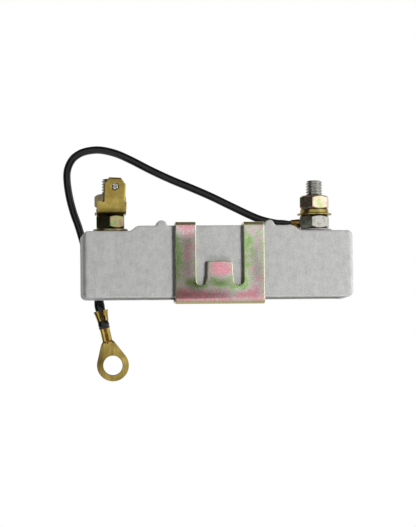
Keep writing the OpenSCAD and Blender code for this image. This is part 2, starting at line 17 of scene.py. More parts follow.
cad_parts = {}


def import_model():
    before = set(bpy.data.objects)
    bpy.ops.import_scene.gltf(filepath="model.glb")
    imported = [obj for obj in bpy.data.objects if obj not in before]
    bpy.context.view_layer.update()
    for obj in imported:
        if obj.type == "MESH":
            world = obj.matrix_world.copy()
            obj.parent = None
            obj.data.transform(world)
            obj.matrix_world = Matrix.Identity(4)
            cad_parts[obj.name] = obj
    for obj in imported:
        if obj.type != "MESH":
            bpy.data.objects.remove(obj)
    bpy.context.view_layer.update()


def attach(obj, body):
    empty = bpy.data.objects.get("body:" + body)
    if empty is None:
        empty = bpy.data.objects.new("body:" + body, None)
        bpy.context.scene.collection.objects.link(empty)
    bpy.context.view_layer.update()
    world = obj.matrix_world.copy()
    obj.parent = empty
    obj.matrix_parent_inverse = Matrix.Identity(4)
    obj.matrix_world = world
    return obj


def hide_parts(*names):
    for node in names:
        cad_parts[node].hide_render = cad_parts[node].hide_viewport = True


Tree = bpy.types.NodeTree
Socket = bpy.types.NodeSocket
Piece = bpy.types.Object
Mesh = bpy.types.Mesh
Inputs = dict[str | int, object]
Triple = tuple[float, float, float]
Pair = tuple[float, float]
Stops = tuple[tuple[float, str], ...]

log = logging.getLogger("ballast_resistor")

MM = 0.001
BODY = "root"
WHITE = "#FFFFFF"

# Places and sizes that several pieces share
STUD_Y = -12.5
LEFT_X = -30.65
RIGHT_X = 28.45
MIDDLE_X = -1.1
LEAD_START = (21.5, STUD_Y, 8.8)
LEAD_END = (-32.0, -2.8, -21.0)

# The way into the panel, and a direction that no path here starts along
INTO_PANEL = Vector((0, 1, 0))
ASKEW = Vector((0.31, 0.47, 0.83))

# How a solid's mesh is cleaned, rounded, worn and shaded
WELD_MM = 0.002
FLAT_DEG = 0.6
EDGE_DEG = 25.0
ROUNDING_FACES = 3
WEAR = 0.5
WEAR_PASSES = 2
SHARP_DEG = 32.0
PLATED_SHARP_DEG = 40.0
NEVER_SHARP_DEG = 180.0

# Octaves of finer noise in a broad pattern and in a fine one
BROAD = 3.0
FINE = 1.0

# Sockets of the Mix node, several of which have the same name
SHARE = 0
FLOAT_A = 2
FLOAT_B = 3
COLOUR_A = 6
COLOUR_B = 7
COLOUR = 2
BLEND = {"data_type": "RGBA"}
MULTIPLY = {"data_type": "RGBA", "blend_type": "MULTIPLY"}


class Slot(Enum):
    """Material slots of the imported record."""

    CERAMIC = "fired_ceramic"
    COIL = "resistance_wire"
    ZINC = "zinc_steel"
    PASSIVATED = "passivated_steel"
    CLIP = "passivated_clip"
    BRASS = "brass_sheet"
    PVC = "black_pvc"
    COPPER = "copper_strands"


class Side(Enum):
    """The two terminals, named as the photograph shows them."""

    LEFT = "left"
    RIGHT = "right"


def srgb(code: str) -> tuple[float, float, float, float]:
    """Turn an sRGB hex colour into linear RGBA by the standard's curve.

    Args:
        code: Colour such as "#B8B8B6".

    Returns:
        Red, green, blue and an alpha of one.
    """
    linear = []
    for start in (1, 3, 5):
        value = int(code[start:start + 2], 16) / 255
        linear.append(value / 12.92 if value <= 0.04045 else ((value + 0.055) / 1.055) ** 2.4)
    return (linear[0], linear[1], linear[2], 1.0)


def per_metre(size_mm: float) -> float:
    """Give the texture scale whose features are about this many millimetres wide."""
    return 1.0 / (size_mm * MM)


def sized(place: Socket, size_mm: float, **others: float) -> Inputs:
    """Give the inputs of a texture whose features have a real size.

    Args:
        place: Coordinates in metres.
        size_mm: Width of a feature.
        others: The texture's other inputs.

    Returns:
        All of the texture's inputs.
    """
    return {"Vector": place, "Scale": per_metre(size_mm), **others}


def connect(tree: Tree, node: bpy.types.Node, inputs: Inputs) -> None:
    """Set or link a node's inputs.

    Args:
        tree: Node tree that holds the node.
        node: Node whose inputs are set.
        inputs: Sockets by name or index, each with a value or an output socket to link.
    """
    for key, value in inputs.items():
        if isinstance(value, Socket):
            tree.links.new(value, node.inputs[key])
        else:
            node.inputs[key].default_value = value


def add_node(
    tree: Tree, kind: str, inputs: Inputs | None = None, stops: Stops = (), **settings: object
) -> bpy.types.NodeOutputs:
    """Add a shader node with its settings, values and links.

    Args:
        tree: Node tree that takes the node.
        kind: Blender's name for the node type, without ShaderNode before it.
        inputs: Sockets by name or index, each with a value or an output socket to link.
        stops: Positions and hex colours of a colour ramp.
        settings: Properties of the node.

    Returns:
        The new node's outputs.
    """
    node = tree.nodes.new(f"ShaderNode{kind}")
    for name, value in settings.items():
        setattr(node, name, value)
    connect(tree, node, inputs or {})
    if stops:
        elements = node.color_ramp.elements
        elements[0].position = stops[0][0]
        elements[1].position = stops[-1][0]
        for position, _ in stops[1:-1]:
            elements.new(position)
        for element, (_, code) in zip(elements, stops):
            element.color = srgb(code)
    return node.outputs


def fresh_rays(tree: Tree) -> Socket:
    """Pick out the camera, glossy and transmission rays that haven't met a matte surface yet.

    Args:
        tree: Node tree of a world or a material.

    Returns:
        One for such a ray, otherwise zero.
    """
    path = add_node(tree, "LightPath")
    fresh = add_node(tree, "Math", {0: path["Diffuse Depth"], 1: 1.0}, operation="LESS_THAN")[0]
    picked = path["Is Camera Ray"]
    for kind in ("Is Glossy Ray", "Is Transmission Ray"):
        picked = add_node(tree, "Math", {0: picked, 1: path[kind]}, operation="MAXIMUM")[0]
    return add_node(tree, "Math", {0: picked, 1: fresh}, operation="MULTIPLY")[0]


@dataclass(frozen=True)
class FilmCloud:
    """A soft patch in the part's X and Z in mm, used for film tints, dullness, painted shade and painted
    highlights.

    A positive hue turns it green and a negative one pink; the last value darkens the metal where it is
    positive and brightens it where it is negative, which paints shade and highlights where a cloud is used
    for them.
    """

    x: float
    z: float
    half_x: float
    half_z: float
    hue: float
    dull_and_painted_light: float = 0.0


@dataclass(frozen=True)
class Finish:
    """A surface finish whose material is made once and shared."""

    name: str

    def material(self) -> bpy.types.Material:
        """Give the finish's material.

        Returns:
            The material, made when it is first asked for.
        """
        made = bpy.data.materials.get(self.name)
        if made is None:
            made = bpy.data.materials.new(self.name)
            made.use_nodes = True
            tree = made.node_tree
            place = add_node(tree, "TexCoord")["Object"]
            connect(tree, tree.nodes["Principled BSDF"], self.surface(tree, place))
        return made

    def surface(self, tree: Tree, place: Socket) -> Inputs:
        """Build the finish's patterns; each kind of finish has its own.

        Args:
            tree: Node tree of the material.
            place: Coordinates in metres.

        Returns:
            What the shader's inputs take.
        """
        raise NotImplementedError

    @staticmethod
    def streaks(tree: Tree, place: Socket, sizes_mm: Triple) -> Socket:
        """Give a noise drawn out along an axis.

        Args:
            tree: Node tree of the material.
            place: Coordinates in metres.
            sizes_mm: Width of a feature along X, Y and Z.

        Returns:
            The noise's value, from 0 to 1.
        """
        scale = tuple(per_metre(size) for size in sizes_mm)
        along = add_node(tree, "Mapping", {"Vector": place, "Scale": scale})[0]
        return add_node(tree, "TexNoise", {"Vector": along, "Scale": 1.0})[0]

    @staticmethod
    def patch(tree: Tree, place: Socket, cloud: FilmCloud, y_mm: float, half_y_mm: float) -> Socket:
        """Give a soft patch that fades from its middle.

        Args:
            tree: Node tree of the material.
            place: Coordinates in metres.
            cloud: Place and half sizes of the patch.
            y_mm: Its place from front to back.
            half_y_mm: How far it reaches to the front and the back.

        Returns:
            One in the middle and zero outside the patch.
        """
        box = {
            "Vector": place,
            "Location": (cloud.x * MM, y_mm * MM, cloud.z * MM),
            "Scale": (cloud.half_x * MM, half_y_mm * MM, cloud.half_z * MM),
        }
        near = add_node(tree, "Mapping", box, vector_type="TEXTURE")[0]
        return add_node(tree, "TexGradient", {"Vector": near}, gradient_type="SPHERICAL")["Fac"]

    @staticmethod
    def satin(tree: Tree, pattern: Socket, roughness: Pair, depth_mm: float) -> Inputs:
        """Let one pattern vary the gloss and press a relief.

        Args:
            tree: Node tree of the material.
            pattern: Value from 0 to 1.
            roughness: Roughness where the pattern is lowest and where it is highest.
            depth_mm: Depth of the relief.

        Returns:
            The shader's roughness and normal.
        """
        low, high = roughness
        return {
            "Roughness": add_node(tree, "MapRange", {"Value": pattern, "To Min": low, "To Max": high})[0],
            "Normal": add_node(tree, "Bump", {"Height": pattern, "Distance": depth_mm * MM})[0],
        }


@dataclass(frozen=True)
class FiredSteatite(Finish):
    """Steatite, pressed from powder and fired unglazed.

    It is dry and chalky to the eye: no shine, faint clouds of tone, upright streaks from the press,
    a grit and a few dark specks. The grit is drawn coarser than it is, so that the render shows it.
    """

    tones: Stops = ((0.32, "#A6A6A5"), (0.50, "#B7B7B6"), (0.68, "#C6C6C5"))
    specks: Stops = ((0.022, "#5A5650"), (0.036, WHITE))
    speck_spacing_mm: float = 11.0
    cloud_mm: float = 1.8
    cloud_detail: float = 4.0
    streak_mm: Triple = (0.45, 0.45, 3.2)
    grit_mm: float = 0.5
    grit_depth_mm: float = 0.03
    grit_share: float = 0.7
    fine_share: float = 0.62
    roughness: float = 0.9
    specular: float = 0.25

    def surface(self, tree: Tree, place: Socket) -> Inputs:
        """Lay clouds, streaks, grit and specks over a matte ceramic.

        Args:
            tree: Node tree of the material.
            place: Coordinates in metres.

        Returns:
            What the shader's inputs take.
        """
        clouds = add_node(tree, "TexNoise", sized(place, self.cloud_mm, Detail=self.cloud_detail))[0]
        grit = add_node(tree, "TexNoise", sized(place, self.grit_mm))[0]
        pressed = self.streaks(tree, place, self.streak_mm)
        fine = add_node(tree, "Mix", {SHARE: self.grit_share, FLOAT_A: pressed, FLOAT_B: grit})[0]
        mottle = add_node(tree, "Mix", {SHARE: self.fine_share, FLOAT_A: clouds, FLOAT_B: fine})[0]
        tone = add_node(tree, "ValToRGB", {"Fac": mottle}, self.tones)[0]
        cells = add_node(tree, "TexVoronoi", sized(place, self.speck_spacing_mm))[0]
        speck = add_node(tree, "ValToRGB", {"Fac": cells}, self.specks)[0]
        colour = add_node(tree, "Mix", {SHARE: 1.0, COLOUR_A: tone, COLOUR_B: speck}, **MULTIPLY)[COLOUR]
        return {
            "Base Color": colour,
            "Roughness": self.roughness,
            "Specular IOR Level": self.specular,
            "Normal": add_node(tree, "Bump", {"Height": grit, "Distance": self.grit_depth_mm * MM})[0],
        }


@dataclass(frozen=True)
class PassivatedZinc(Finish):
    """Zinc-plated steel, dipped in yellow chromate.

    The thin film gives a satin metal with drifting green, straw and pink tints. The etch is drawn
    coarser than it is, so that the render shows it.
    """

    tints: Stops
    drift_mm: float = 1.9
    etch_mm: float = 0.35
    etch_depth_mm: float = 0.006
    roughness: Pair = (0.22, 0.36)

    def surface(self, tree: Tree, place: Socket) -> Inputs:
        """Tint a satin metal by a drifting film.

        Args:
            tree: Node tree of the material.
            place: Coordinates in metres.

        Returns:
            What the shader's inputs take.
        """
        film = add_node(tree, "TexNoise", sized(place, self.drift_mm, Detail=BROAD))[0]
        etch = add_node(tree, "TexNoise", sized(place, self.etch_mm))[0]
        tint = add_node(tree, "ValToRGB", {"Fac": film}, self.tints)[0]
        satin = self.satin(tree, etch, self.roughness, self.etch_depth_mm)
        return {"Base Color": tint, "Metallic": 1.0, **satin}


@dataclass(frozen=True)
class PassivatedSpringSteel(Finish):
    """Spring steel strip, zinc-plated and dipped in yellow chromate after folding.

    The film pooled as the clip drained, so the satin metal has patches of pink, silver and green
    with a dither where they meet, and is duller where the film is thick. Painted shade darkens its left
    side and a painted highlight runs above the lower fold. Edges and folds carry a painted highlight where
    they face up or aside and painted shade where they face down. The dither and the grit are drawn coarser
    than they are, so that the render shows them.
    """

    film: Stops = (
        (0.00, "#EEA8B2"),
        (0.25, "#E2C4C4"),
        (0.50, "#D8D4CC"),
        (0.75, "#C8D8AE"),
        (1.00, "#A8CC88"),
    )
    thick_film_and_shade: Stops = ((0.0, WHITE), (1.0, "#6A625A"))
    # Edges and folds get a painted highlight where they face up or aside and painted shade where they face
    # down; these stops say where and in which tones.
    painted_edge_mask: Stops = ((0.0, "#888888"), (0.35, WHITE), (0.80, WHITE), (0.97, "#000000"))
    upward: Stops = ((0.30, "#000000"), (0.42, WHITE))
    painted_rim_highlight: str = "#F6FCC4"
    painted_fold_shade: str = "#A69E78"
    grit: Stops = ((0.30, "#DADADA"), (0.70, WHITE))
    # Clouds on the front set film hue and dullness; the first one paints shade over the left side.
    clouds: tuple[FilmCloud, ...] = (
        FilmCloud(-14.0, -5.0, 19.0, 34.0, 0.0, 0.86),
        FilmCloud(-9.9, 6.9, 4.4, 3.4, -0.5, -0.95),
        FilmCloud(-12.6, -1.2, 2.6, 9.0, 0.8, -0.05),
        FilmCloud(-9.2, 2.0, 2.4, 6.0, -0.3, 0.15),
        FilmCloud(-9.0, -5.0, 2.4, 5.0, -0.2, 0.12),
        FilmCloud(-6.9, -9.2, 3.9, 2.8, 0.85, 0.5),
        FilmCloud(-9.5, -12.3, 9.0, 2.8, -0.85, 0.27),
        FilmCloud(0.0, -12.4, 9.0, 2.4, -0.55, 0.5),
        FilmCloud(9.5, -12.0, 6.0, 3.0, -0.55, 0.3),
        # A thin painted highlight along the front just above the lower fold.
        FilmCloud(0.0, -13.75, 70.0, 0.55, -0.2, -0.8),
        FilmCloud(0.1, -4.8, 3.9, 3.2, -1.0, -0.34),
        FilmCloud(0.0, -8.9, 7.0, 2.8, 0.5, 0.42),
        FilmCloud(5.6, -10.0, 3.4, 2.2, 0.75, 0.05),
        FilmCloud(7.6, 2.0, 2.8, 5.0, 0.65, -0.1),
        FilmCloud(6.9, -5.0, 2.2, 8.0, 0.5),
        FilmCloud(9.8, 7.4, 5.0, 2.6, -0.12, -0.45),
        FilmCloud(10.9, -7.0, 3.4, 5.5, -0.12, 0.44),
        FilmCloud(10.0, -0.8, 4.0, 7.0, 0.04, 0.38),
    )
    back_clouds: tuple[FilmCloud, ...] = (
        FilmCloud(0.0, -3.0, 34.0, 30.0, 0.0, 0.45),
        FilmCloud(-8.0, 2.0, 13.0, 11.0, -0.55, 0.0),
        FilmCloud(7.5, -4.0, 12.0, 10.0, 0.5, 0.2),
        FilmCloud(-3.0, -11.5, 15.0, 5.0, -0.65, 0.1),
    )
    front_y: float = -21.5
    back_y: float = -2.0
    cloud_depth_mm: float = 17.0
    drift_mm: float = 2.2
    dither_mm: float = 0.4
    dither_share: float = 0.42
    dither_depth_mm: float = 0.004
    hue_spread: Pair = (0.30, 0.70)
    uneven: float = 0.1
    grit_mm: float = 0.34
    roughness: Pair = (0.24, 0.36)

    def film_with_painted_light(self, tree: Tree, place: Socket, drift: Socket, dither: Socket) -> Socket:
        """Sum the clouds, and colour the metal by its film's hue and by its dullness, which holds painted
        shade and painted highlights.

        Args:
            tree: Node tree of the material.
            place: Coordinates in metres.
            drift: Broad unevenness of the film.
            dither: Fine unevenness of the film.

        Returns:
            The colour of the flat faces.
        """
        mixed = add_node(tree, "Mix", {SHARE: self.dither_share, FLOAT_A: drift, FLOAT_B: dither})[0]
        low, high = self.hue_spread
        hue = add_node(tree, "MapRange", {"Value": mixed, "From Min": low, "From Max": high})[0]
        shine = {"Value": drift, "To Min": -self.uneven, "To Max": self.uneven}
        dull_and_painted_light = add_node(tree, "MapRange", shine)[0]
        # The clouds add dull film, painted shade and painted highlights to the dullness.
        layers = [(cloud, self.front_y) for cloud in self.clouds]
        layers += [(cloud, self.back_y) for cloud in self.back_clouds]
        for cloud, y in layers:
            near = self.patch(tree, place, cloud, y, self.cloud_depth_mm)
            hue = add_node(tree, "Math", {0: near, 1: cloud.hue, 2: hue}, operation="MULTIPLY_ADD")[0]
            dull_and_painted_light = add_node(tree, "Math", {0: near, 1: cloud.dull_and_painted_light, 2: dull_and_painted_light}, operation="MULTIPLY_ADD")[0]
        tint = add_node(tree, "ValToRGB", {"Fac": hue}, self.film)[0]
        darker = add_node(tree, "ValToRGB", {"Fac": dull_and_painted_light}, self.thick_film_and_shade)[0]
        return add_node(tree, "Mix", {SHARE: 1.0, COLOUR_A: tint, COLOUR_B: darker}, **MULTIPLY)[COLOUR]

    def with_painted_edges(self, tree: Tree, film_with_painted_light: Socket) -> Socket:
        """Paint a highlight on edges and folds that face up or aside, and paint shade on folds that face
        down.

        Args:
            tree: Node tree of the material.
            film_with_painted_light: Colour of the flat faces.

        Returns:
            The film's colour all over.
        """
        facing = add_node(tree, "SeparateXYZ", {0: add_node(tree, "TexCoord")["Normal"]})
        flat = add_node(tree, "Math", {0: facing["Y"]}, operation="ABSOLUTE")[0]
        painted_edge_mask = add_node(tree, "ValToRGB", {"Fac": flat}, self.painted_edge_mask)[0]
        height = add_node(tree, "MapRange", {"Value": facing["Z"], "From Min": -1.0})[0]
        upward = add_node(tree, "ValToRGB", {"Fac": height}, self.upward)[0]
        # Painted shade on folds that face down, painted highlight on edges that face up or aside.
        tones = {SHARE: upward, COLOUR_A: srgb(self.painted_fold_shade), COLOUR_B: srgb(self.painted_rim_highlight)}
        painted_edge_light = add_node(tree, "Mix", tones, **BLEND)[COLOUR]
        return add_node(tree, "Mix", {SHARE: painted_edge_mask, COLOUR_A: film_with_painted_light, COLOUR_B: painted_edge_light}, **BLEND)[COLOUR]

    def surface(self, tree: Tree, place: Socket) -> Inputs:
        """Colour a satin metal by its film, and speckle it.

        Args:
            tree: Node tree of the material.
            place: Coordinates in metres.

        Returns:
            What the shader's inputs take.
        """
        drift = add_node(tree, "TexNoise", sized(place, self.drift_mm, Detail=BROAD))[0]
        dither = add_node(tree, "TexNoise", sized(place, self.dither_mm, Detail=FINE))[0]
        film = self.with_painted_edges(tree, self.film_with_painted_light(tree, place, drift, dither))
        fine = add_node(tree, "TexNoise", sized(place, self.grit_mm, Detail=FINE))[0]
        speckle = add_node(tree, "ValToRGB", {"Fac": fine}, self.grit)[0]
        colour = add_node(tree, "Mix", {SHARE: 1.0, COLOUR_A: film, COLOUR_B: speckle}, **MULTIPLY)[COLOUR]
        satin = self.satin(tree, dither, self.roughness, self.dither_depth_mm)
        return {"Base Color": colour, "Metallic": 1.0, **satin}


@dataclass(frozen=True)
class RolledMetal(Finish):
    """Bare metal shaped by rolling, stamping or drawing.

    Streaks run along the direction of working, with a duller tone where it has tarnished; patches, where
    given, paint shade and highlights. The streaks are drawn coarser than they are, so that the render shows
    them.
    """

    tones: Stops
    streak_mm: Triple = (0.25, 0.25, 2.5)
    streak_share: float = 0.4
    streak_depth_mm: float = 0.008
    roughness: Pair = (0.24, 0.40)
    tarnish_and_painted_shade: Stops = ((0.0, WHITE), (1.0, "#4A3E24"))
    tarnish_mm: float = 2.4
    tarnish_most: float = 0.4
    painted_light_patches: tuple[FilmCloud, ...] = ()
    patch_depth_mm: float = 90.0

    def surface(self, tree: Tree, place: Socket) -> Inputs:
        """Streak and tarnish a bare metal.

        Args:
            tree: Node tree of the material.
            place: Coordinates in metres.

        Returns:
            What the shader's inputs take.
        """
        worked = self.streaks(tree, place, self.streak_mm)
        clouds = add_node(tree, "TexNoise", sized(place, self.tarnish_mm, Detail=BROAD))[0]
        mixed = add_node(tree, "Mix", {SHARE: self.streak_share, FLOAT_A: clouds, FLOAT_B: worked})[0]
        tone = add_node(tree, "ValToRGB", {"Fac": mixed}, self.tones)[0]
        dull_and_painted_light = add_node(tree, "MapRange", {"Value": clouds, "To Max": self.tarnish_most})[0]
        # Patches paint shade where positive and highlights where negative.
        for cloud in self.painted_light_patches:
            near = self.patch(tree, place, cloud, STUD_Y, self.patch_depth_mm)
            dull_and_painted_light = add_node(tree, "Math", {0: near, 1: cloud.dull_and_painted_light, 2: dull_and_painted_light}, operation="MULTIPLY_ADD")[0]
        tarnish_and_painted_shade = add_node(tree, "ValToRGB", {"Fac": dull_and_painted_light}, self.tarnish_and_painted_shade)[0]
        colour = add_node(tree, "Mix", {SHARE: 1.0, COLOUR_A: tone, COLOUR_B: tarnish_and_painted_shade}, **MULTIPLY)[COLOUR]
        satin = self.satin(tree, worked, self.roughness, self.streak_depth_mm)
        return {"Base Color": colour, "Metallic": 1.0, **satin}


@dataclass(frozen=True)
class ExtrudedPvc(Finish):
    """Soft PVC, extruded over the conductor.

    Black with a faint cool sheen, duller where it has been handled.
    """

    tones: Stops = ((0.35, "#060709"), (0.65, "#101215"))
    handled_mm: float = 1.6
    handled_depth_mm: float = 0.02
    roughness: Pair = (0.14, 0.28)
    ior: float = 1.53
    specular: float = 0.32

    def surface(self, tree: Tree, place: Socket) -> Inputs:
        """Dull a black plastic unevenly.

        Args:
            tree: Node tree of the material.
            place: Coordinates in metres.

        Returns:
            What the shader's inputs take.
        """
        handled = add_node(tree, "TexNoise", sized(place, self.handled_mm, Detail=BROAD))[0]
        tone = add_node(tree, "ValToRGB", {"Fac": handled}, self.tones)[0]
        satin = self.satin(tree, handled, self.roughness, self.handled_depth_mm)
        return {"Base Color": tone, "IOR": self.ior, "Specular IOR Level": self.specular, **satin}


@dataclass(frozen=True)
class StudioCloth(Finish):
    """Matte paper or cloth of the studio, with the faint unevenness of its fibres."""

    tones: Stops
    fibre_mm: float = 3.0
    glow: float = 0.0

    def surface(self, tree: Tree, place: Socket) -> Inputs:
        """Mottle a matte sheet, which glows to the eye and to gloss if it is the background.

        Args:
            tree: Node tree of the material.
            place: Coordinates in metres.

        Returns:
            What the shader's inputs take.
        """
        fibres = add_node(tree, "TexNoise", sized(place, self.fibre_mm))[0]
        tone = add_node(tree, "ValToRGB", {"Fac": fibres}, self.tones)[0]
        inputs = {"Base Color": tone, "Roughness": 1.0, "Specular IOR Level": 0.0}
        if self.glow:
            seen = {0: fresh_rays(tree), 1: self.glow}
            inputs["Emission Strength"] = add_node(tree, "Math", seen, operation="MULTIPLY")[0]
            inputs["Emission Color"] = srgb(WHITE)
        return inputs


STEATITE = FiredSteatite("fired_steatite")
YELLOW_ZINC = PassivatedZinc(
    "yellow_passivated_zinc",
    ((0.34, "#607852"), (0.44, "#7C7C54"), (0.52, "#847C58"), (0.59, "#846658"), (0.68, "#607450")),
)
CREAM_ZINC = PassivatedZinc(
    "cream_passivated_zinc",
    ((0.34, "#B0BE8C"), (0.44, "#CABE9C"), (0.52, "#D4C8B6"), (0.59, "#D0A49E"), (0.68, "#B2BC90")),
)
CLEAR_ZINC = PassivatedZinc(
    "pale_passivated_zinc",
    ((0.34, "#8A9C80"), (0.46, "#A8A8A2"), (0.56, "#B4B0AC"), (0.68, "#9C9684")),
)
GOLD_ZINC = PassivatedZinc(
    "gold_passivated_zinc",
    ((0.34, "#90985A"), (0.45, "#9E904E"), (0.56, "#907840"), (0.68, "#7A6640")),
)
CLIP_STEEL = PassivatedSpringSteel("passivated_spring_steel")
BRIGHT_ZINC = RolledMetal(
    "bright_zinc",
    ((0.30, "#94948E"), (0.50, "#BCBBB5"), (0.70, "#DCDBD6")),
    roughness=(0.16, 0.30),
)
BRASS = RolledMetal(
    "stamped_brass",
    ((0.30, "#8A763A"), (0.48, "#A6914B"), (0.68, "#C4AE68")),
    streak_mm=(0.3, 0.3, 0.7),
    # Painted highlight across the blade's root, painted shade at its bend and along its top edge.
    painted_light_patches=(
        FilmCloud(-31.2, 14.3, 6.0, 2.0, 0.0, -0.4),
        FilmCloud(-31.0, 11.2, 7.0, 1.9, 0.0, 0.55),
        FilmCloud(-29.6, 21.6, 5.0, 2.0, 0.0, 0.3),
    ),
)
BRUSHED_BRASS = RolledMetal(
    "brushed_brass",
    ((0.30, "#7E6C36"), (0.48, "#A48E4A"), (0.70, "#C8AF66")),
    streak_mm=(0.28, 0.28, 3.4),
    roughness=(0.10, 0.24),
    # Painted shade on the ring's left side, painted highlights on its right side and on the crimps.
    painted_light_patches=(
        FilmCloud(-33.8, -30.5, 3.4, 6.0, 0.0, 0.6),
        FilmCloud(-26.4, -28.5, 3.4, 5.0, 0.0, -0.4),
        FilmCloud(-32.0, -21.5, 4.0, 5.0, 0.0, -0.5),
    ),
)
DARK_BRASS = RolledMetal("darkened_brass", ((0.30, "#5E4826"), (0.50, "#866834"), (0.70, "#AC8C50")))
COPPER = RolledMetal("drawn_copper", ((0.30, "#8A4A2E"), (0.50, "#B0684A"), (0.70, "#CE8E70")))
NICHROME = RolledMetal("oxidised_nichrome", ((0.30, "#4A4642"), (0.50, "#6A645E"), (0.70, "#8A837A")))
PVC = ExtrudedPvc("extruded_pvc")
PAPER = StudioCloth("studio_paper", ((0.3, "#F4F4F2"), (0.7, "#FAFAF8")), glow=0.78)
LINEN = StudioCloth("brown_linen", ((0.3, "#62584A"), (0.7, "#726858")))
VELVET = StudioCloth("black_velvet", ((0.3, "#0A0A0A"), (0.7, "#121212")))


def link(name: str, data: bpy.types.ID) -> Piece:
    """Put a mesh, a lamp or a camera in the scene.

    Args:
        name: Name of the new object.
        data: What the object holds.

    Returns:
        The new object.
    """
    made = bpy.data.objects.new(name, data)
    bpy.context.scene.collection.objects.link(made)
    return made


def shade(piece: Piece, sharp_deg: float) -> None:
    """Shade a mesh smoothly, apart from its sharp edges.

    Args:
        piece: Mesh object.
        sharp_deg: Angle above which an edge is drawn sharp.
    """
    mesh = piece.data
    mesh.polygons.foreach_set("use_smooth", [True] * len(mesh.polygons))
    mesh.set_sharp_from_angle(angle=math.radians(sharp_deg))


class Shell:
    """Points in millimetres and faces, collected for one mesh."""

    def __init__(self) -> None:
        """Start with no points and no faces."""
        self.points: list[Vector] = []
        self.faces: list[tuple[int, ...]] = []

    def loft(self, rings: Sequence[Sequence[Vector]], closed: bool = False) -> None:
        """Skin closed rings of equal count.

        Args:
            rings: Rings of points in order along the form.
            closed: Whether the last ring joins the first; otherwise both ends are capped.
        """
        first = len(self.points)
        count = len(rings[0])
        rows = len(rings)
        self.points.extend(point for ring in rings for point in ring)
        for row in range(rows if closed else rows - 1):
            here = first + row * count
            there = first + (row + 1) % rows * count
            for i in range(count):
                j = (i + 1) % count
                self.faces.append((here + i, here + j, there + j, there + i))
        if not closed:
            last = first + (rows - 1) * count
            self.faces.append(tuple(reversed(range(first, first + count))))
            self.faces.append(tuple(range(last, last + count)))

    def tube(
        self,
        path: Sequence[Vector],
        half_sizes: Callable[[int], Pair],
        sides: int,
        reference: Vector | None = None,
    ) -> None:
        """Sweep an ellipse along a path.

        Args:
            path: Points of the centreline.
            half_sizes: Half width and half depth at each point of the path.
            sides: Points round the ellipse.
            reference: Direction that the depth keeps to; without it the section turns as little as it can.
        """
        rings = []
        depth = reference or ASKEW
        for i, point in enumerate(path):
            ahead = (path[min(i + 1, len(path) - 1)] - path[max(i - 1, 0)]).normalized()
            across = ahead.cross(reference or depth).normalized()
            depth = across.cross(ahead).normalized()
            wide, deep = half_sizes(i)
            ring = []
            for k in range(sides):
                angle = math.tau * k / sides
                ring.append(point + across * wide * math.cos(angle) + depth * deep * math.sin(angle))
            rings.append(ring)
        self.loft(rings)

    def piece(self, name: str, sharp_deg: float = SHARP_DEG) -> Piece:
        """Make a smooth-shaded object of the collected faces.

        Args:
            name: Name of the piece.
            sharp_deg: Angle above which an edge is drawn sharp.

        Returns:
            The linked object, in metres.
        """
        mesh = bpy.data.meshes.new(name)
        mesh.from_pydata([point * MM for point in self.points], [], self.faces)
        form = bmesh.new()
        form.from_mesh(mesh)
        bmesh.ops.recalc_face_normals(form, faces=form.faces)
        form.to_mesh(mesh)
        form.free()
        piece = link(name, mesh)
        shade(piece, sharp_deg)
        return piece


def settle(piece: Piece) -> None:
    """Apply a piece's modifiers to its mesh.

    Args:
        piece: Mesh object whose modifiers are used up.
    """
    graph = bpy.context.evaluated_depsgraph_get()
    made = bpy.data.meshes.new_from_object(piece.evaluated_get(graph))
    before = piece.data
    piece.modifiers.clear()
    piece.data = made
    bpy.data.meshes.remove(before)
    made.name = piece.name


def softened_copy(name: str, node: str, width_mm: float) -> Piece:
    """Copy a CAD solid and round its edges as tooling, plating or shearing leaves them.

    Args:
        name: Name of the new piece.
        node: CAD node that is copied.
        width_mm: Width of the rounding.

    Returns:
        The rounded copy.
    """
    form = bmesh.new()
    form.from_mesh(bpy.data.objects[node].data)
    bmesh.ops.remove_doubles(form, verts=form.verts, dist=WELD_MM * MM)
    bmesh.ops.dissolve_limit(form, angle_limit=math.radians(FLAT_DEG), verts=form.verts, edges=form.edges)
    rounded = form.edges.layers.float.new("bevel_weight_edge")
    for edge in form.edges:
        if len(edge.link_faces) == 2 and edge.calc_face_angle() > math.radians(EDGE_DEG):
            edge[rounded] = 1.0
    mesh = bpy.data.meshes.new(name)
    form.to_mesh(mesh)
    form.free()
    piece = link(name, mesh)
    bevel = piece.modifiers.new("rounding", "BEVEL")
    bevel.limit_method = "WEIGHT"
    bevel.width = width_mm * MM
    bevel.segments = ROUNDING_FACES
    bevel.use_clamp_overlap = False
    settle(piece)
    shade(piece, PLATED_SHARP_DEG)
    piece.modifiers.new("flat_faces", "WEIGHTED_NORMAL").keep_sharp = True
    settle(piece)
    return piece


def remeshed_copy(name: str, node: str, voxel_mm: float) -> Piece:
    """Copy a CAD solid as a fine even mesh with slightly worn edges, ready to be worked on.

    Args:
        name: Name of the new piece.
        node: CAD node that is copied.
        voxel_mm: Size of the new mesh's faces.

    Returns:
        The even copy.
    """
    piece = link(name, bpy.data.objects[node].data.copy())
    remesh = piece.modifiers.new("even_faces", "REMESH")
    remesh.mode = "VOXEL"
    remesh.voxel_size = voxel_mm * MM
    smooth = piece.modifiers.new("worn_edges", "SMOOTH")
    smooth.factor = WEAR
    smooth.iterations = WEAR_PASSES
    settle(piece)
    shade(piece, NEVER_SHARP_DEG)
    return piece


def unite(piece: Piece, other: Piece) -> None:
    """Make two solids one.

    Args:
        piece: Solid that keeps its name.
        other: Solid that is used up.
    """
    union = piece.modifiers.new("one_sheet", "BOOLEAN")
    union.operation = "UNION"
    union.solver = "EXACT"
    union.object = other
    settle(piece)
    bpy.data.objects.remove(other)


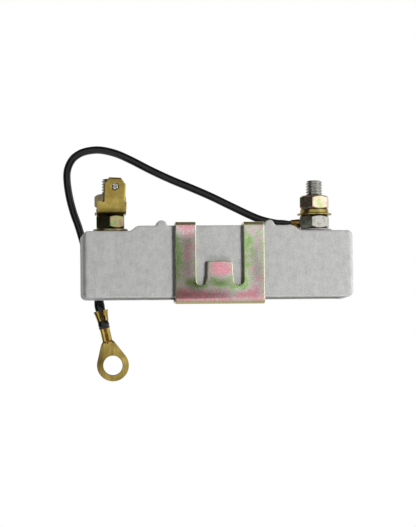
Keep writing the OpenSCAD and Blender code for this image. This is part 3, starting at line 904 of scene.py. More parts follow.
def hermite(start: Vector, leave: Vector, end: Vector, arrive: Vector, t: float) -> Vector:
    """Give a point on the cubic from start to end.

    Args:
        start: First point.
        leave: Direction and speed at the first point.
        end: Last point.
        arrive: Direction and speed at the last point.
        t: Share of the way, from 0 to 1.

    Returns:
        The point.
    """
    square, cube = t * t, t * t * t
    return (
        start * (2 * cube - 3 * square + 1)
        + leave * (cube - 2 * square + t)
        + end * (3 * square - 2 * cube)
        + arrive * (cube - square)
    )


def smooth_route(points: Sequence[Vector], steps: int) -> list[Vector]:
    """Sample a smooth curve through points.

    Args:
        points: Points that the curve passes through.
        steps: Samples in each stretch between two points.

    Returns:
        The samples, with both end points.
    """
    samples = []
    for i in range(len(points) - 1):
        before = points[max(i - 1, 0)]
        start, end = points[i], points[i + 1]
        after = points[min(i + 2, len(points) - 1)]
        for step in range(steps):
            samples.append(hermite(start, (end - before) / 2, end, (after - start) / 2, step / steps))
    samples.append(points[-1])
    return samples


def run_lengths(path: Sequence[Vector]) -> list[float]:
    """Give the way along a path to each of its points.

    Args:
        path: Points in order.

    Returns:
        Distances from the first point.
    """
    lengths = [0.0]
    for a, b in zip(path, path[1:]):
        lengths.append(lengths[-1] + (b - a).length)
    return lengths


def interpolate(table: Sequence[tuple[float, ...]], where: float) -> tuple[float, ...]:
    """Read a table of rows that start with their position, easing in and out between the rows.

    Args:
        table: Rows in rising order of position.
        where: Position to read.

    Returns:
        The values there, without the position.
    """
    if where <= table[0][0]:
        return table[0][1:]
    for low, high in zip(table, table[1:]):
        if where <= high[0]:
            t = (where - low[0]) / (high[0] - low[0])
            ease = t * t * (3 - 2 * t)
            return tuple(a + (b - a) * ease for a, b in zip(low[1:], high[1:]))
    return table[-1][1:]


def hand_over(piece: Piece, finish: Finish, slot: Slot, *nodes: str) -> None:
    """Dress a piece, fix it to the body and let it stand for its CAD nodes.

    Args:
        piece: Finished mesh.
        finish: Its surface finish.
        slot: Its material slot in the record; not used.
        nodes: CAD nodes that it replaces.
    """
    piece.data.materials.clear()
    piece.data.materials.append(finish.material())
    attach(piece, BODY)
    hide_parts(*nodes)
    log.info("%s: %d faces, %s", piece.name, len(piece.data.polygons), finish.name)


@dataclass
class CeramicBody:
    """The fired trough, its edges slightly worn and its faces slightly uneven."""

    voxel_mm: float = 0.36
    swell_mm: float = 0.03
    swell_span_mm: float = 5.0
    pit_mm: float = 0.02
    pit_span_mm: float = 0.9

    def roughen(self, mesh: Mesh) -> None:
        """Move each point along its normal by a broad swell and a fine pit.

        Args:
            mesh: Mesh of the trough.
        """
        normals = [vertex.normal.copy() for vertex in mesh.vertices]
        for vertex, normal in zip(mesh.vertices, normals):
            swell = noise.noise(vertex.co / (self.swell_span_mm * MM)) * self.swell_mm
            pit = noise.noise(vertex.co / (self.pit_span_mm * MM)) * self.pit_mm
            vertex.co += normal * (swell + pit) * MM
        mesh.update()

    def build(self) -> None:
        """Remesh and roughen the trough."""
        piece = remeshed_copy("fired_body", "ceramic_body", self.voxel_mm)
        self.roughen(piece.data)
        hand_over(piece, STEATITE, Slot.CERAMIC, "ceramic_body")


@dataclass
class ResistanceCoil:
    """The resistance wire: an eye round each stud, a tail, and the turns between them."""

    axis_z: float = -4.0
    mean_r: float = 3.6
    pitch: float = 1.6
    turns: float = 27.5
    wire_r: float = 0.4
    eye_r: float = 2.95
    eye_z: float = 0.15
    eye_sweep: float = 280.0
    eye_start_x: float = 23.0312
    turn_steps: int = 24
    tail_steps: int = 18
    eye_steps: int = 36
    sides: int = 10

    def turn_point(self, turn: float) -> Vector:
        """Give the wire's place in the turns.

        Args:
            turn: Number of turns from the left end.

        Returns:
            The point in mm.
        """
        angle = math.pi + math.tau * turn
        x = MIDDLE_X + self.pitch * (turn - self.turns / 2)
        y = STUD_Y + self.mean_r * math.cos(angle)
        return Vector((x, y, self.axis_z + self.mean_r * math.sin(angle)))

    def right_tail(self) -> list[Vector]:
        """Trace the wire from the last turn up to and round the right stud, clear of its head.

        Returns:
            Points of the tail and the eye.
        """
        start = self.turn_point(self.turns)
        end = Vector((self.eye_start_x, STUD_Y + self.eye_r, self.eye_z))
        rise = end.z - start.z
        leave, arrive = Vector((0, 0, rise)), Vector((rise, 0, 0))
        points = []
        for i in range(self.tail_steps):
            points.append(hermite(start, leave, end, arrive, (i + 1) / self.tail_steps))
        for i in range(self.eye_steps + 1):
            angle = math.radians(90 - self.eye_sweep * i / self.eye_steps)
            x = RIGHT_X + self.eye_r * math.cos(angle)
            points.append(Vector((x, STUD_Y + self.eye_r * math.sin(angle), self.eye_z)))
        return points

    def build(self) -> None:
        """Sweep the wire along eye, tail, turns, tail and eye."""
        tail = self.right_tail()
        left = [Vector((2 * MIDDLE_X - p.x, 2 * STUD_Y - p.y, p.z)) for p in reversed(tail)]
        count = round(self.turns * self.turn_steps)
        turns = [self.turn_point(i / self.turn_steps) for i in range(count + 1)]
        wire = Shell()
        wire.tube(left + turns + tail, lambda i: (self.wire_r, self.wire_r), self.sides)
        hand_over(wire.piece("wound_coil"), NICHROME, Slot.COIL, "resistance_coil")


@dataclass
class TerminalStack:
    """One terminal: a stud with a rolled thread, its nuts and its washers.

    Each of the rings is a node's name without its side, the rounding of its edges, its finish and slot.
    """

    side: Side
    x: float
    nut_top: float
    head_turn_deg: float
    rings: tuple[tuple[str, float, Finish, Slot], ...]
    head_flat_r: float = 4.0
    head_low: float = -3.8
    head_high: float = -0.3
    head_chamfer: float = 0.35
    head_end_share: float = 0.96
    core_r: float = 2.05
    crest_r: float = 2.45
    crest_share: float = 0.18
    flank_share: float = 0.62
    pitch: float = 0.8
    tip: float = 20.9
    tip_chamfer: float = 0.5
    sides: int = 48
    thread_step: float = 0.05

    def head_radius(self, angle: float) -> float:
        """Distance from the axis to the hexagon at an angle from one of its corners."""
        return self.head_flat_r / math.cos((angle % (math.pi / 3)) - math.pi / 6)

    def thread_radius(self, angle: float, height: float) -> float:
        """Distance from the axis to the thread.

        Args:
            angle: Angle about the axis.
            height: Height in the part's frame, in mm.

        Returns:
            The radius in mm, cut back by the chamfer at the tip.
        """
        turn = (height / self.pitch - angle / math.tau) % 1.0
        away = abs(2 * turn - 1)
        slope = min(max((away - self.crest_share) / self.flank_share, 0.0), 1.0)
        radius = self.crest_r - (self.crest_r - self.core_r) * slope
        return min(radius, self.crest_r - self.tip_chamfer + self.tip - height)

    def stud_form(self, name: str) -> Piece:
        """Turn the stud from its hexagon head to its tip.

        Args:
            name: Name of the piece.

        Returns:
            The stud.
        """
        turn = math.radians(self.head_turn_deg)
        rings = []

        def add(height: float, radius: Callable[[float], float]) -> None:
            """Add a ring of points.

            Args:
                height: Height of the ring.
                radius: Distance from the axis at each angle.
            """
            ring = []
            for i in range(self.sides):
                angle = math.tau * i / self.sides
                reach = radius(angle)
                x = self.x + reach * math.cos(angle + turn)
                ring.append(Vector((x, STUD_Y + reach * math.sin(angle + turn), height)))
            rings.append(ring)

        add(self.head_low, lambda angle: self.head_flat_r * self.head_end_share)
        add(self.head_low + self.head_chamfer, self.head_radius)
        add(self.head_high, self.head_radius)
        add(self.head_high, lambda angle: self.core_r)
        add(self.nut_top - self.thread_step, lambda angle: self.core_r)
        steps = round((self.tip - self.nut_top) / self.thread_step)
        for step in range(steps + 1):
            height = self.nut_top + step * (self.tip - self.nut_top) / steps
            add(height, lambda angle: self.thread_radius(angle + turn, height))
        shell = Shell()
        shell.loft(rings)
        return shell.piece(name)

    def build(self) -> None:
        """Make the stud, then each nut and washer of the stack."""
        stud = f"stud_{self.side.value}"
        hand_over(self.stud_form(f"threaded_{stud}"), BRIGHT_ZINC, Slot.ZINC, stud)
        for kind, width, finish, slot in self.rings:
            node = f"{kind}_{self.side.value}"
            piece = softened_copy(f"plated_{node}", node, width)
            hand_over(piece, finish, slot, node)


LEFT_STACK = TerminalStack(
    Side.LEFT,
    x=LEFT_X,
    nut_top=17.1,
    head_turn_deg=26.0,
    tip=21.5,
    tip_chamfer=0.3,
    rings=(
        ("inner_washer", 0.15, BRIGHT_ZINC, Slot.ZINC),
        ("base_washer", 0.2, YELLOW_ZINC, Slot.PASSIVATED),
        ("lower_nut", 0.2, YELLOW_ZINC, Slot.PASSIVATED),
        ("spring_washer", 0.2, YELLOW_ZINC, Slot.PASSIVATED),
        ("upper_nut", 0.2, YELLOW_ZINC, Slot.PASSIVATED),
    ),
)
RIGHT_STACK = TerminalStack(
    Side.RIGHT,
    x=RIGHT_X,
    nut_top=16.55,
    head_turn_deg=15.0,
    rings=(
        ("inner_washer", 0.15, BRIGHT_ZINC, Slot.ZINC),
        ("base_washer", 0.12, BRIGHT_ZINC, Slot.ZINC),
        ("lower_nut", 0.2, CLEAR_ZINC, Slot.PASSIVATED),
        ("flat_washer", 0.14, GOLD_ZINC, Slot.PASSIVATED),
        ("spring_washer", 0.2, GOLD_ZINC, Slot.PASSIVATED),
        ("upper_nut", 0.2, CREAM_ZINC, Slot.PASSIVATED),
    ),
)


@dataclass
class Spade:
    """The stamped blade terminal that the left upper nut clamps, its blade coined for a receptacle."""

    base: Triple = (LEFT_X, STUD_Y, 11.15)
    front: float = -5.82
    lean_deg: float = 2.5
    middle: float = 0.65
    half_w: float = 3.15
    foot: float = 3.65
    top: float = 10.45
    chamfer: Pair = (1.45, 1.95)
    latch_drop: float = 2.5
    latch_r: float = 0.95
    latch_rim: float = 0.3
    dent: Pair = (1.5, -4.7)
    dent_r: float = 0.4
    dent_depth: float = 0.08
    coined_w: float = 0.42
    coined_depth: float = 0.22
    voxel_mm: float = 0.09

    def inside(self, u: float, w: float) -> float:
        """Give how far a place on the blade lies inside its outline.

        Args:
            u: Place across the blade from its middle.
            w: Place up the blade from its top, negative downwards.

        Returns:
            The distance to the nearest edge in mm.
        """
        across, down = self.chamfer
        corner = (self.half_w - abs(u)) * down + (-w - down) * across
        return min(self.half_w - abs(u), -w, corner / math.hypot(across, down))

    def depth(self, u: float, w: float) -> float:
        """Give how far coining, the latch hole's rim and the dent press the blade's front back.

        Args:
            u: Place across the blade from its middle.
            w: Place up the blade from its top, negative downwards.

        Returns:
            The depth in mm, zero where the front stays flat.
        """
        edge = self.inside(u, w) / self.coined_w
        rim = (math.hypot(u, w + self.latch_drop) - self.latch_r) / self.latch_rim
        hollow = math.hypot(u - self.dent[0], w - self.dent[1]) / self.dent_r
        return max(
            0.0,
            self.coined_depth * (1 - edge),
            self.coined_depth * (1 - rim),
            self.dent_depth * (1 - hollow * hollow),
        )

    def coin(self, mesh: Mesh) -> None:
        """Press the blade's front back at its edges, round its hole and at its dent.

        Args:
            mesh: Mesh of the spade.
        """
        upright = Matrix.Rotation(math.radians(self.lean_deg), 2)
        for vertex in mesh.vertices:
            x, y, z = vertex.co / MM - Vector(self.base)
            u, w = upright @ Vector((x, z))
            if w > self.foot and y < self.front + self.coined_depth:
                y = max(y, self.front + self.depth(u - self.middle, w - self.top))
                vertex.co.y = (y + self.base[1]) * MM
        mesh.update()

    def build(self) -> None:
        """Remesh and coin the stamping."""
        piece = remeshed_copy("stamped_spade", "spade_terminal", self.voxel_mm)
        self.coin(piece.data)
        hand_over(piece, BRASS, Slot.BRASS, "spade_terminal")


@dataclass
class SpringClip:
    """The folded clip that wraps the ceramic, with its edges rounded by shearing and plating."""

    edge_mm: float = 0.38
    half_w: float = 12.8
    side_band: float = 0.57
    taper_mm: float = 0.8
    front_y: float = -20.5
    depth: float = 17.0

    def taper(self, mesh: Mesh) -> None:
        """Draw the sides of the floor and the back in, towards the back.

        Args:
            mesh: Mesh of the clip.
        """
        for vertex in mesh.vertices:
            if abs(vertex.co.x) > (self.half_w - self.side_band) * MM:
                share = min(max((vertex.co.y / MM - self.front_y) / self.depth, 0.0), 1.0)
                vertex.co.x -= math.copysign(self.taper_mm * share * MM, vertex.co.x)
        mesh.update()

    def build(self) -> None:
        """Round the sheared edges and taper the back."""
        piece = softened_copy("folded_clip", "mounting_clip", self.edge_mm)
        self.taper(piece.data)
        hand_over(piece, CLIP_STEEL, Slot.CLIP, "mounting_clip")


@dataclass(frozen=True)
class StrandBundle:
    """Bare copper strands of uneven length: one straight, with the others laid round it."""

    steps: int
    count: int = 7
    strand_r: float = 0.165
    bundle_r: float = 0.33
    lay: float = 9.0
    lengths: int = 4
    length_stride: int = 3
    sides: int = 8

    def twist(self, ends: Callable[[int], Pair], point: Callable[[float, float, Pair], Vector]) -> Shell:
        """Lay the strands.

        Args:
            ends: Where a strand starts and ends along the bundle, for the number of its length.
            point: Place for a way along the bundle, a way from the strand's start, and the offsets
                across the bundle.

        Returns:
            The strands' shell.
        """
        shell = Shell()
        laid = self.count - 1
        for strand in range(self.count):
            reach = 0.0 if strand == laid else self.bundle_r
            start, end = ends(strand * self.length_stride % self.lengths)
            path = []
            for step in range(self.steps + 1):
                along = start + (end - start) * step / self.steps
                angle = math.tau * (strand / laid + along / self.lay)
                across = (reach * math.cos(angle), reach * math.sin(angle))
                path.append(point(along, along - start, across))
            shell.tube(path, lambda i: (self.strand_r, self.strand_r), self.sides, INTO_PANEL)
        return shell


@dataclass(frozen=True)
class Rolled:
    """A section of the ring terminal's rolled sheet: its left half, from the tip to the middle."""

    height: float
    line: tuple[Pair, ...]
    widen: float = 1.0


# Lines of the sheet from its left tip to its middle. A flat strip has shares of its half width. A dished
# one has rows of a share of its half width, a share of its lip's height and a height added to that
SHEET_LOW = -0.3
FLAT = (1.0, 0.75, 0.5, 0.25, 0.0)
DISHED = (
    (1.0, 1.0, 0.0), (0.97, 0.4, -0.1), (0.8, 0.0, -0.24), (0.4, 0.0, SHEET_LOW), (0.0, 0.0, SHEET_LOW),
)
STRAND_ROLL = (
    (-0.14, 0.55), (-0.22, 1.08), (-0.6, 1.48), (-1.02, 1.34),
    (-1.2, 0.9), (-1.2, 0.3), (-0.95, -0.17), (0.0, SHEET_LOW),
)
WING_ROLL = (
    (-0.14, 1.3), (-0.3, 1.95), (-0.85, 2.38), (-1.38, 2.1),
    (-1.58, 1.4), (-1.44, 0.5), (-1.05, -0.08), (0.0, SHEET_LOW),
)


def flat_line(half: float) -> tuple[Pair, ...]:
    """Give the left half of a flat strip."""
    return tuple((-half * share, SHEET_LOW) for share in FLAT)


def dish_line(half: float, lip: float) -> tuple[Pair, ...]:
    """Give the left half of a strip whose sides turn up to a lip."""
    return tuple((-half * across, lip * up + height) for across, up, height in DISHED)


@dataclass
class RingTerminal:
    """The ring terminal at the lead's far end, in a frame with its hole at the origin and crimps up +Z."""

    lean_deg: float = 12.63
    axis_height: float = 1.15
    reach: float = 11.0
    hole_r: float = 2.8
    ring_r: float = 4.65
    plate_t: float = 0.6
    edge: float = 0.16
    edge_steps: int = 3
    neck_deg: float = 26.0
    neck: tuple[Pair, ...] = ((2.05, 6.5), (1.425, 7.1))
    ring_steps: int = 144
    sheet_t: float = 0.46
    tip_share: float = 0.6
    curve_steps: int = 8
    line_samples: int = 33
    sharp_deg: float = 35.0
    bundle: StrandBundle = StrandBundle(steps=24)
    bundle_y: float = -0.8
    strand_start: float = 6.62
    strand_uneven: float = 0.14
    fanned: float = 1.4
    fan_length: float = 0.9
    fan_sink: float = 0.7
    sections: tuple[Rolled, ...] = (
        Rolled(4.6, flat_line(1.5)),
        Rolled(6.2, flat_line(1.6)),
        Rolled(6.6, dish_line(1.72, 0.35)),
        Rolled(7.0, dish_line(1.5, 1.0)),
        Rolled(7.25, STRAND_ROLL, 1.04),
        Rolled(7.6, STRAND_ROLL),
        Rolled(9.0, STRAND_ROLL),
        Rolled(10.5, STRAND_ROLL),
        Rolled(10.9, STRAND_ROLL, 1.06),
        Rolled(11.15, dish_line(1.45, 0.9)),
        Rolled(11.6, dish_line(1.3, 0.3)),
        Rolled(12.6, dish_line(1.3, 0.3)),
        Rolled(13.0, dish_line(1.4, 1.2)),
        Rolled(13.2, WING_ROLL, 0.9),
        Rolled(14.2, WING_ROLL, 0.98),
        Rolled(15.4, WING_ROLL, 1.1),
        Rolled(16.2, WING_ROLL, 1.24),
    )

    def frame(self) -> Matrix:
        """Give the terminal's place on the lead's end, in mm."""
        turn = Matrix.Rotation(math.radians(-self.lean_deg), 4, "Y")
        return Matrix.Translation(LEAD_END) @ turn @ Matrix.Translation((0, self.axis_height, -self.reach))

    def outline_radius(self, angle: float) -> float:
        """Distance from the hole's centre to the plate's edge.

        Args:
            angle: Angle from the crimps' direction.

        Returns:
            The distance in mm.
        """
        angle = abs(math.remainder(angle, math.tau))
        foot = math.pi / 2 - math.radians(self.neck_deg)
        corners = [(self.ring_r * math.sin(foot), self.ring_r * math.cos(foot))]
        corners += list(self.neck)
        corners.append((0.0, self.neck[-1][1]))
        for (x1, z1), (x2, z2) in zip(corners, corners[1:]):
            if math.atan2(x2, z2) <= angle <= math.atan2(x1, z1):
                cross = x1 * z2 - x2 * z1
                return cross / ((z2 - z1) * math.sin(angle) - (x2 - x1) * math.cos(angle))
        return self.ring_r

    def plate(self) -> Shell:
        """Stamp the ring and neck, with rounded edges.

        Returns:
            The plate's shell.
        """
        rings = []
        for i in range(self.ring_steps):
            angle = math.tau * i / self.ring_steps
            outward = Vector((math.sin(angle), 0, math.cos(angle)))
            outer = self.outline_radius(angle)
            ring = []
            for reach, inward in ((self.hole_r, 1), (outer, -1)):
                corner = []
                for step in range(self.edge_steps + 1):
                    turn = math.radians(90 * step / self.edge_steps)
                    along = reach + inward * self.edge * (1 - math.cos(turn))
                    corner.append((along, self.edge * (1 - math.sin(turn))))
                front = [outward * along + Vector((0, y, 0)) for along, y in corner]
                back = [outward * along + Vector((0, self.plate_t - y, 0)) for along, y in reversed(corner)]
                ring += back[::-1] + front[::-1] if inward == 1 else front[::-1] + back[::-1]
            rings.append(ring)
        shell = Shell()
        shell.loft(rings, closed=True)
        return shell

    def rolled_ring(self, section: Rolled) -> list[Vector]:
        """Give thickness to one section of the rolled sheet.

        Args:
            section: Height and centreline of the section.

        Returns:
            A closed ring of points.
        """
        left = [Vector((x * section.widen, -h, 0)) for x, h in section.line]
        whole = left + [Vector((-p.x, p.y, 0)) for p in reversed(left[:-1])]
        fine = smooth_route(whole, self.curve_steps)
        spans = run_lengths(fine)
        line = []
        at = 0
        for i in range(self.line_samples):
            goal = spans[-1] * i / (self.line_samples - 1)
            while at < len(spans) - 2 and spans[at + 1] < goal:
                at += 1
            share = (goal - spans[at]) / (spans[at + 1] - spans[at])
            line.append(fine[at].lerp(fine[at + 1], share))
        outer, inner = [], []
        lift = Vector((0, 0, section.height))
        for i, point in enumerate(line):
            along = line[min(i + 1, len(line) - 1)] - line[max(i - 1, 0)]
            normal = Vector((along.y, -along.x, 0)).normalized()
            tip = self.tip_share if i in (0, len(line) - 1) else 1.0
            outer.append(point + normal * self.sheet_t / 2 * tip + lift)
            inner.append(point - normal * self.sheet_t / 2 * tip + lift)
        return outer + inner[::-1]

    def strand_point(self, along: float, run: float, across: Pair) -> Vector:
        """Give a point of a strand in the crimp, whose bare end fans out.

        Args:
            along: Height in the terminal's frame.
            run: Way from the strand's bare end.
            across: Offsets from the bundle's middle.

        Returns:
            The point in the terminal's frame.
        """
        fan = 1 + self.fanned * max(0.0, 1 - run / self.fan_length)
        return Vector((across[0] * fan, self.bundle_y * self.fan_sink ** (fan - 1) + across[1], along))

    def build(self) -> list[Piece]:
        """Unite the stamped plate with its rolled crimps and lay the strands.

        Returns:
            The terminal and the strands.
        """
        piece = self.plate().piece("stamped_ring_terminal")
        barrel = Shell()
        barrel.loft([self.rolled_ring(section) for section in self.sections])
        unite(piece, barrel.piece("rolled_crimps"))
        copper = self.bundle.twist(
            lambda length: (self.strand_start + self.strand_uneven * length, self.reach), self.strand_point
        )
        strands = copper.piece("ring_strands")
        place = Matrix.Scale(MM, 4) @ self.frame() @ Matrix.Scale(1 / MM, 4)
        for made in (piece, strands):
            made.data.transform(place)
            shade(made, self.sharp_deg)
        hand_over(piece, BRUSHED_BRASS, Slot.BRASS, "ring_terminal")
        hand_over(strands, COPPER, Slot.COPPER, "strands_ring")
        return [piece, strands]


@dataclass
class LeadLug:
    """The small lug under the right base washer, and the strands in its barrel."""

    voxel_mm: float = 0.07
    barrel: Pair = (20.15, 23.8)
    barrel_low: float = 7.4
    barrel_past: float = 1.05
    flare: Pair = (0.8, 1.3)
    drawn_mm: float = 0.3
    web: tuple[Pair, ...] = (
        (23.25, 6.5), (22.3, 7.75), (22.6, 8.4), (24.18, 8.4), (24.18, 6.95), (23.42, 6.95),
    )
    web_sides: Pair = (-12.85, -11.5)
    bundle: StrandBundle = StrandBundle(steps=12)
    strand_end: float = 23.8
    strand_uneven: float = 0.12

    def flare_barrel(self, mesh: Mesh) -> None:
        """Squeeze the barrel round the lead and open it towards the nut.

        Args:
            mesh: Mesh of the lug.
        """
        axis = Vector(LEAD_START)
        for vertex in mesh.vertices:
            point = vertex.co / MM
            share = (point.x - self.barrel[0]) / (self.barrel[1] - self.barrel[0])
            if point.z > self.barrel_low and share < self.barrel_past:
                widen = self.flare[0] + (self.flare[1] - self.flare[0]) * max(share, 0.0)
                point.y = axis.y + (point.y - axis.y) * widen
                point.z = axis.z + (point.z - axis.z) * widen
                point.x += self.drawn_mm * max(share, 0.0) ** 2
                vertex.co = point * MM
        mesh.update()

    def build(self) -> None:
        """Wear and flare the lug, and lay its strands."""
        piece = remeshed_copy("stamped_lead_lug", "lead_lug", self.voxel_mm)
        self.flare_barrel(piece.data)
        web = Shell()
        web.loft([[Vector((x, side, z)) for x, z in self.web] for side in self.web_sides])
        unite(piece, web.piece("neck_web"))
        hand_over(piece, DARK_BRASS, Slot.BRASS, "lead_lug")
        start_x, y, z = LEAD_START
        copper = self.bundle.twist(
            lambda length: (start_x, self.strand_end - self.strand_uneven * length),
            lambda along, run, across: Vector((along, y + across[0], z + across[1])),
        )
        hand_over(copper.piece("lug_strands"), COPPER, Slot.COPPER, "strands_lug")


@dataclass
class Lead:
    """The insulated lead from the lug, over the top and behind the ceramic, to the ring terminal.

    Each swelling is a way from the far end with the lead's width and depth there.
    """

    diameter: float = 2.2
    route: tuple[Triple, ...] = (
        LEAD_START, (17.0, -12.5, 8.8), (13.2, -12.2, 9.65), (9.8, -11.8, 11.05), (4.0, -11.4, 13.9),
        (-1.6, -10.8, 16.7), (-7.4, -10.2, 19.3), (-13.0, -9.6, 21.7), (-18.8, -9.0, 24.5),
        (-24.5, -8.2, 27.55), (-28.8, -7.5, 29.5), (-33.0, -6.8, 30.5), (-36.3, -6.0, 30.4),
        (-39.0, -5.2, 29.6), (-41.15, -4.4, 27.9), (-42.45, -3.7, 25.0), (-42.55, -3.2, 21.6),
        (-41.85, -2.7, 17.0), (-40.7, -2.3, 12.6), (-39.2, -2.0, 8.3), (-37.2, -2.0, 1.3),
        (-35.1, -2.0, -6.0), (-33.8, -2.3, -11.5), (-33.3, -2.8, -15.2), LEAD_END,
    )
    swellings: tuple[Triple, ...] = (
        (0.0, 2.2, 1.9), (0.5, 3.0, 2.2), (1.1, 3.3, 2.3), (1.9, 2.9, 2.1), (3.0, 2.5, 1.6),
        (4.6, 2.5, 1.7), (5.6, 2.9, 2.2), (6.6, 3.0, 2.2), (9.0, 2.6, 2.2), (14.0, 2.3, 2.2),
        (20.0, 2.2, 2.2), (113.0, 2.2, 2.2), (117.0, 1.8, 1.8), (119.5, 1.15, 1.15),
    )
    steps: int = 8
    sides: int = 24
    sharp_deg: float = 60.0

    def build(self, on_it: list[Piece]) -> None:
        """Args:
            on_it: Pieces at the lead's far end; not used.
        """
        path = smooth_route([Vector(point) for point in self.route], self.steps)
        left = run_lengths(path[::-1])[::-1]

        def half_sizes(i: int) -> Pair:
            """Half width and half depth at a point of the path."""
            wide, deep = interpolate(self.swellings, left[i])
            return wide / 2, deep / 2

        shell = Shell()
        shell.tube(path, half_sizes, self.sides, INTO_PANEL)
        piece = shell.piece("insulated_lead", self.sharp_deg)
        hand_over(piece, PVC, Slot.PVC, "lead_wire")


def direction(azimuth_deg: float, elevation_deg: float) -> Vector:
    """Give a direction as seen from the object.

    Args:
        azimuth_deg: Angle from the front towards the right.
        elevation_deg: Angle above the level.

    Returns:
        The direction, of length one.
    """
    azimuth, elevation = math.radians(azimuth_deg), math.radians(elevation_deg)
    flat = math.cos(elevation)
    return Vector((math.sin(azimuth) * flat, -math.cos(azimuth) * flat, math.sin(elevation)))


@dataclass(frozen=True)
class Softbox:
    """A square area lamp, placed by the direction in which it is seen from the object."""

    name: str
    azimuth_deg: float
    elevation_deg: float
    distance: float
    size: float
    watts: float
    in_gloss: bool = False


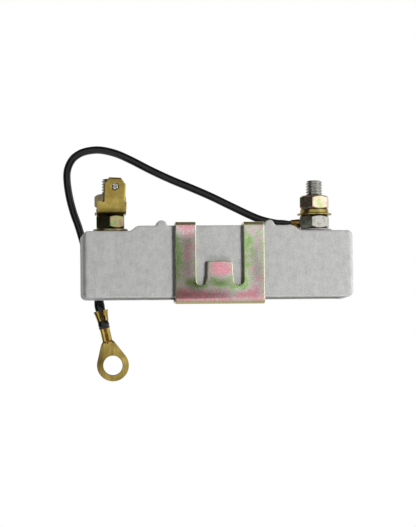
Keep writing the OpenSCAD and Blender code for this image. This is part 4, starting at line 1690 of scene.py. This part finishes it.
@dataclass
class Studio:
    """Camera at the photograph's angle, white surroundings, lamps, and dark flags on the left and above."""

    pivot_mm: Triple = (MIDDLE_X, STUD_Y, -3.0)
    yaw_deg: float = 5.53
    pitch_deg: float = 3.24
    roll_deg: float = 0.63
    distance_mm: float = 800.0
    aside_mm: float = -1.498
    raised_mm: float = 0.115
    lens_mm: float = 189.7
    sensor_mm: float = 36.0
    clip_start: float = 0.01
    ambient: float = 0.09
    lamps: tuple[Softbox, ...] = (
        Softbox("key", 48.0, 8.0, 0.55, 0.14, 2.95),
        Softbox("right_card", 64.0, 8.0, 0.70, 0.60, 1.3, in_gloss=True),
        Softbox("left_fill", -82.0, 0.0, 0.40, 0.22, 0.45),
        Softbox("table_bounce", 52.0, -52.0, 0.45, 0.18, 1.15),
        Softbox("overhead", 180.0, 78.0, 0.60, 0.40, 1.4),
        Softbox("back_fill", 190.0, 20.0, 0.90, 0.60, 7.2),
    )
    floor_z: float = -0.9
    floor_r: float = 4.0
    canopy_z: float = 0.30
    canopy_r: float = 0.36
    disc_sides: int = 64
    flag_azimuths: Pair = (-104.0, -46.0)
    flag_distance: float = 0.45
    flag_heights: Pair = (-0.3, 0.3)
    flag_panels: int = 12

    def camera(self, scene: bpy.types.Scene) -> None:
        """Place the camera as fitted to the photograph.

        Args:
            scene: Scene that looks through it.
        """
        yaw, pitch = math.radians(self.yaw_deg), math.radians(self.pitch_deg)
        roll = math.radians(self.roll_deg)
        level = Vector((math.cos(yaw), -math.sin(yaw), 0))
        ahead = Vector((math.sin(yaw) * math.cos(pitch), math.cos(yaw) * math.cos(pitch), math.sin(pitch)))
        upward = level.cross(ahead)
        right = level * math.cos(roll) - upward * math.sin(roll)
        up = level * math.sin(roll) + upward * math.cos(roll)
        eye = Vector(self.pivot_mm) + right * self.aside_mm + up * self.raised_mm - ahead * self.distance_mm
        data = bpy.data.cameras.new("photo_camera")
        data.lens = self.lens_mm
        data.sensor_width = self.sensor_mm
        data.sensor_fit = "AUTO"
        data.clip_start = self.clip_start
        camera = link("photo_camera", data)
        turn = Matrix((right, up, -ahead)).transposed().to_4x4()
        camera.matrix_world = Matrix.Translation(eye * MM) @ turn
        scene.camera = camera

    def world(self, scene: bpy.types.Scene) -> None:
        """Make the surroundings white to the eye and to gloss, and a plain fill to matte surfaces.

        Args:
            scene: Scene that takes the world.
        """
        world = bpy.data.worlds.new("white_studio")
        world.use_nodes = True
        tree = world.node_tree
        tree.nodes.clear()
        fill = add_node(tree, "Background", {"Color": srgb(WHITE), "Strength": self.ambient})[0]
        white = add_node(tree, "Background", {"Color": srgb(WHITE), "Strength": 1.0})[0]
        mixed = add_node(tree, "MixShader", {0: fresh_rays(tree), 1: fill, 2: white})[0]
        add_node(tree, "OutputWorld", {"Surface": mixed})
        scene.world = world

    def lamp(self, lamp: Softbox) -> None:
        """Hang a softbox that faces the object.

        Args:
            lamp: Its name, place, size and power.
        """
        data = bpy.data.lights.new(lamp.name, "AREA")
        data.energy = lamp.watts
        data.size = lamp.size
        light = link(lamp.name, data)
        away = direction(lamp.azimuth_deg, lamp.elevation_deg)
        light.location = Vector(self.pivot_mm) * MM + away * lamp.distance
        light.rotation_euler = away.to_track_quat("Z", "Y").to_euler()
        light.visible_camera = False
        light.visible_glossy = lamp.in_gloss
        light.visible_diffuse = not lamp.in_gloss

    def stand(self, name: str, shell: Shell, finish: Finish) -> Piece:
        """Stand a sheet in the studio, which isn't part of the object.

        Args:
            name: Name of the sheet.
            shell: Its points and faces.
            finish: Its surface finish.

        Returns:
            The sheet.
        """
        sheet = shell.piece(name)
        sheet.data.materials.append(finish.material())
        return sheet

    def disc(self, radius: float, height: float) -> Shell:
        """Give a level disc.

        Args:
            radius: Radius in metres.
            height: Height in metres.

        Returns:
            The disc's shell.
        """
        shell = Shell()
        for i in range(self.disc_sides):
            angle = math.tau * i / self.disc_sides
            point = Vector((radius * math.cos(angle), radius * math.sin(angle), height))
            shell.points.append(point / MM)
        shell.faces.append(tuple(range(self.disc_sides)))
        return shell

    def curtain(self) -> Shell:
        """Give the curved flag on the left, which darkens what turns away from the key lamp.

        Returns:
            The flag's shell.
        """
        shell = Shell()
        start, end = self.flag_azimuths
        for i in range(self.flag_panels + 1):
            away = direction(start + (end - start) * i / self.flag_panels, 0.0) * self.flag_distance / MM
            for height in self.flag_heights:
                shell.points.append(Vector(self.pivot_mm) + away + Vector((0, 0, height / MM)))
        for i in range(self.flag_panels):
            shell.faces.append((2 * i, 2 * i + 2, 2 * i + 3, 2 * i + 1))
        return shell

    def build(self) -> None:
        """Set up the camera, the white world, the lamps, the floor and the flags."""
        scene = bpy.context.scene
        scene.view_settings.view_transform = "Standard"
        self.camera(scene)
        self.world(scene)
        for lamp in self.lamps:
            self.lamp(lamp)
        self.stand("pale_floor", self.disc(self.floor_r, self.floor_z), PAPER)
        side = self.stand("dark_side_flag", self.curtain(), VELVET)
        above = self.stand("dark_canopy", self.disc(self.canopy_r, self.canopy_z), LINEN)
        side.visible_camera = False
        above.visible_camera = False
        above.visible_diffuse = False
        above.visible_shadow = False


def main() -> None:
    """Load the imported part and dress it."""
    logging.basicConfig(level=logging.INFO, format="%(name)s: %(message)s")
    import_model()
    Studio().build()
    Lead().build(RingTerminal().build())
    CeramicBody().build()
    ResistanceCoil().build()
    LEFT_STACK.build()
    Spade().build()
    RIGHT_STACK.build()
    LeadLug().build()
    SpringClip().build()


if __name__ == "__main__":
    main()
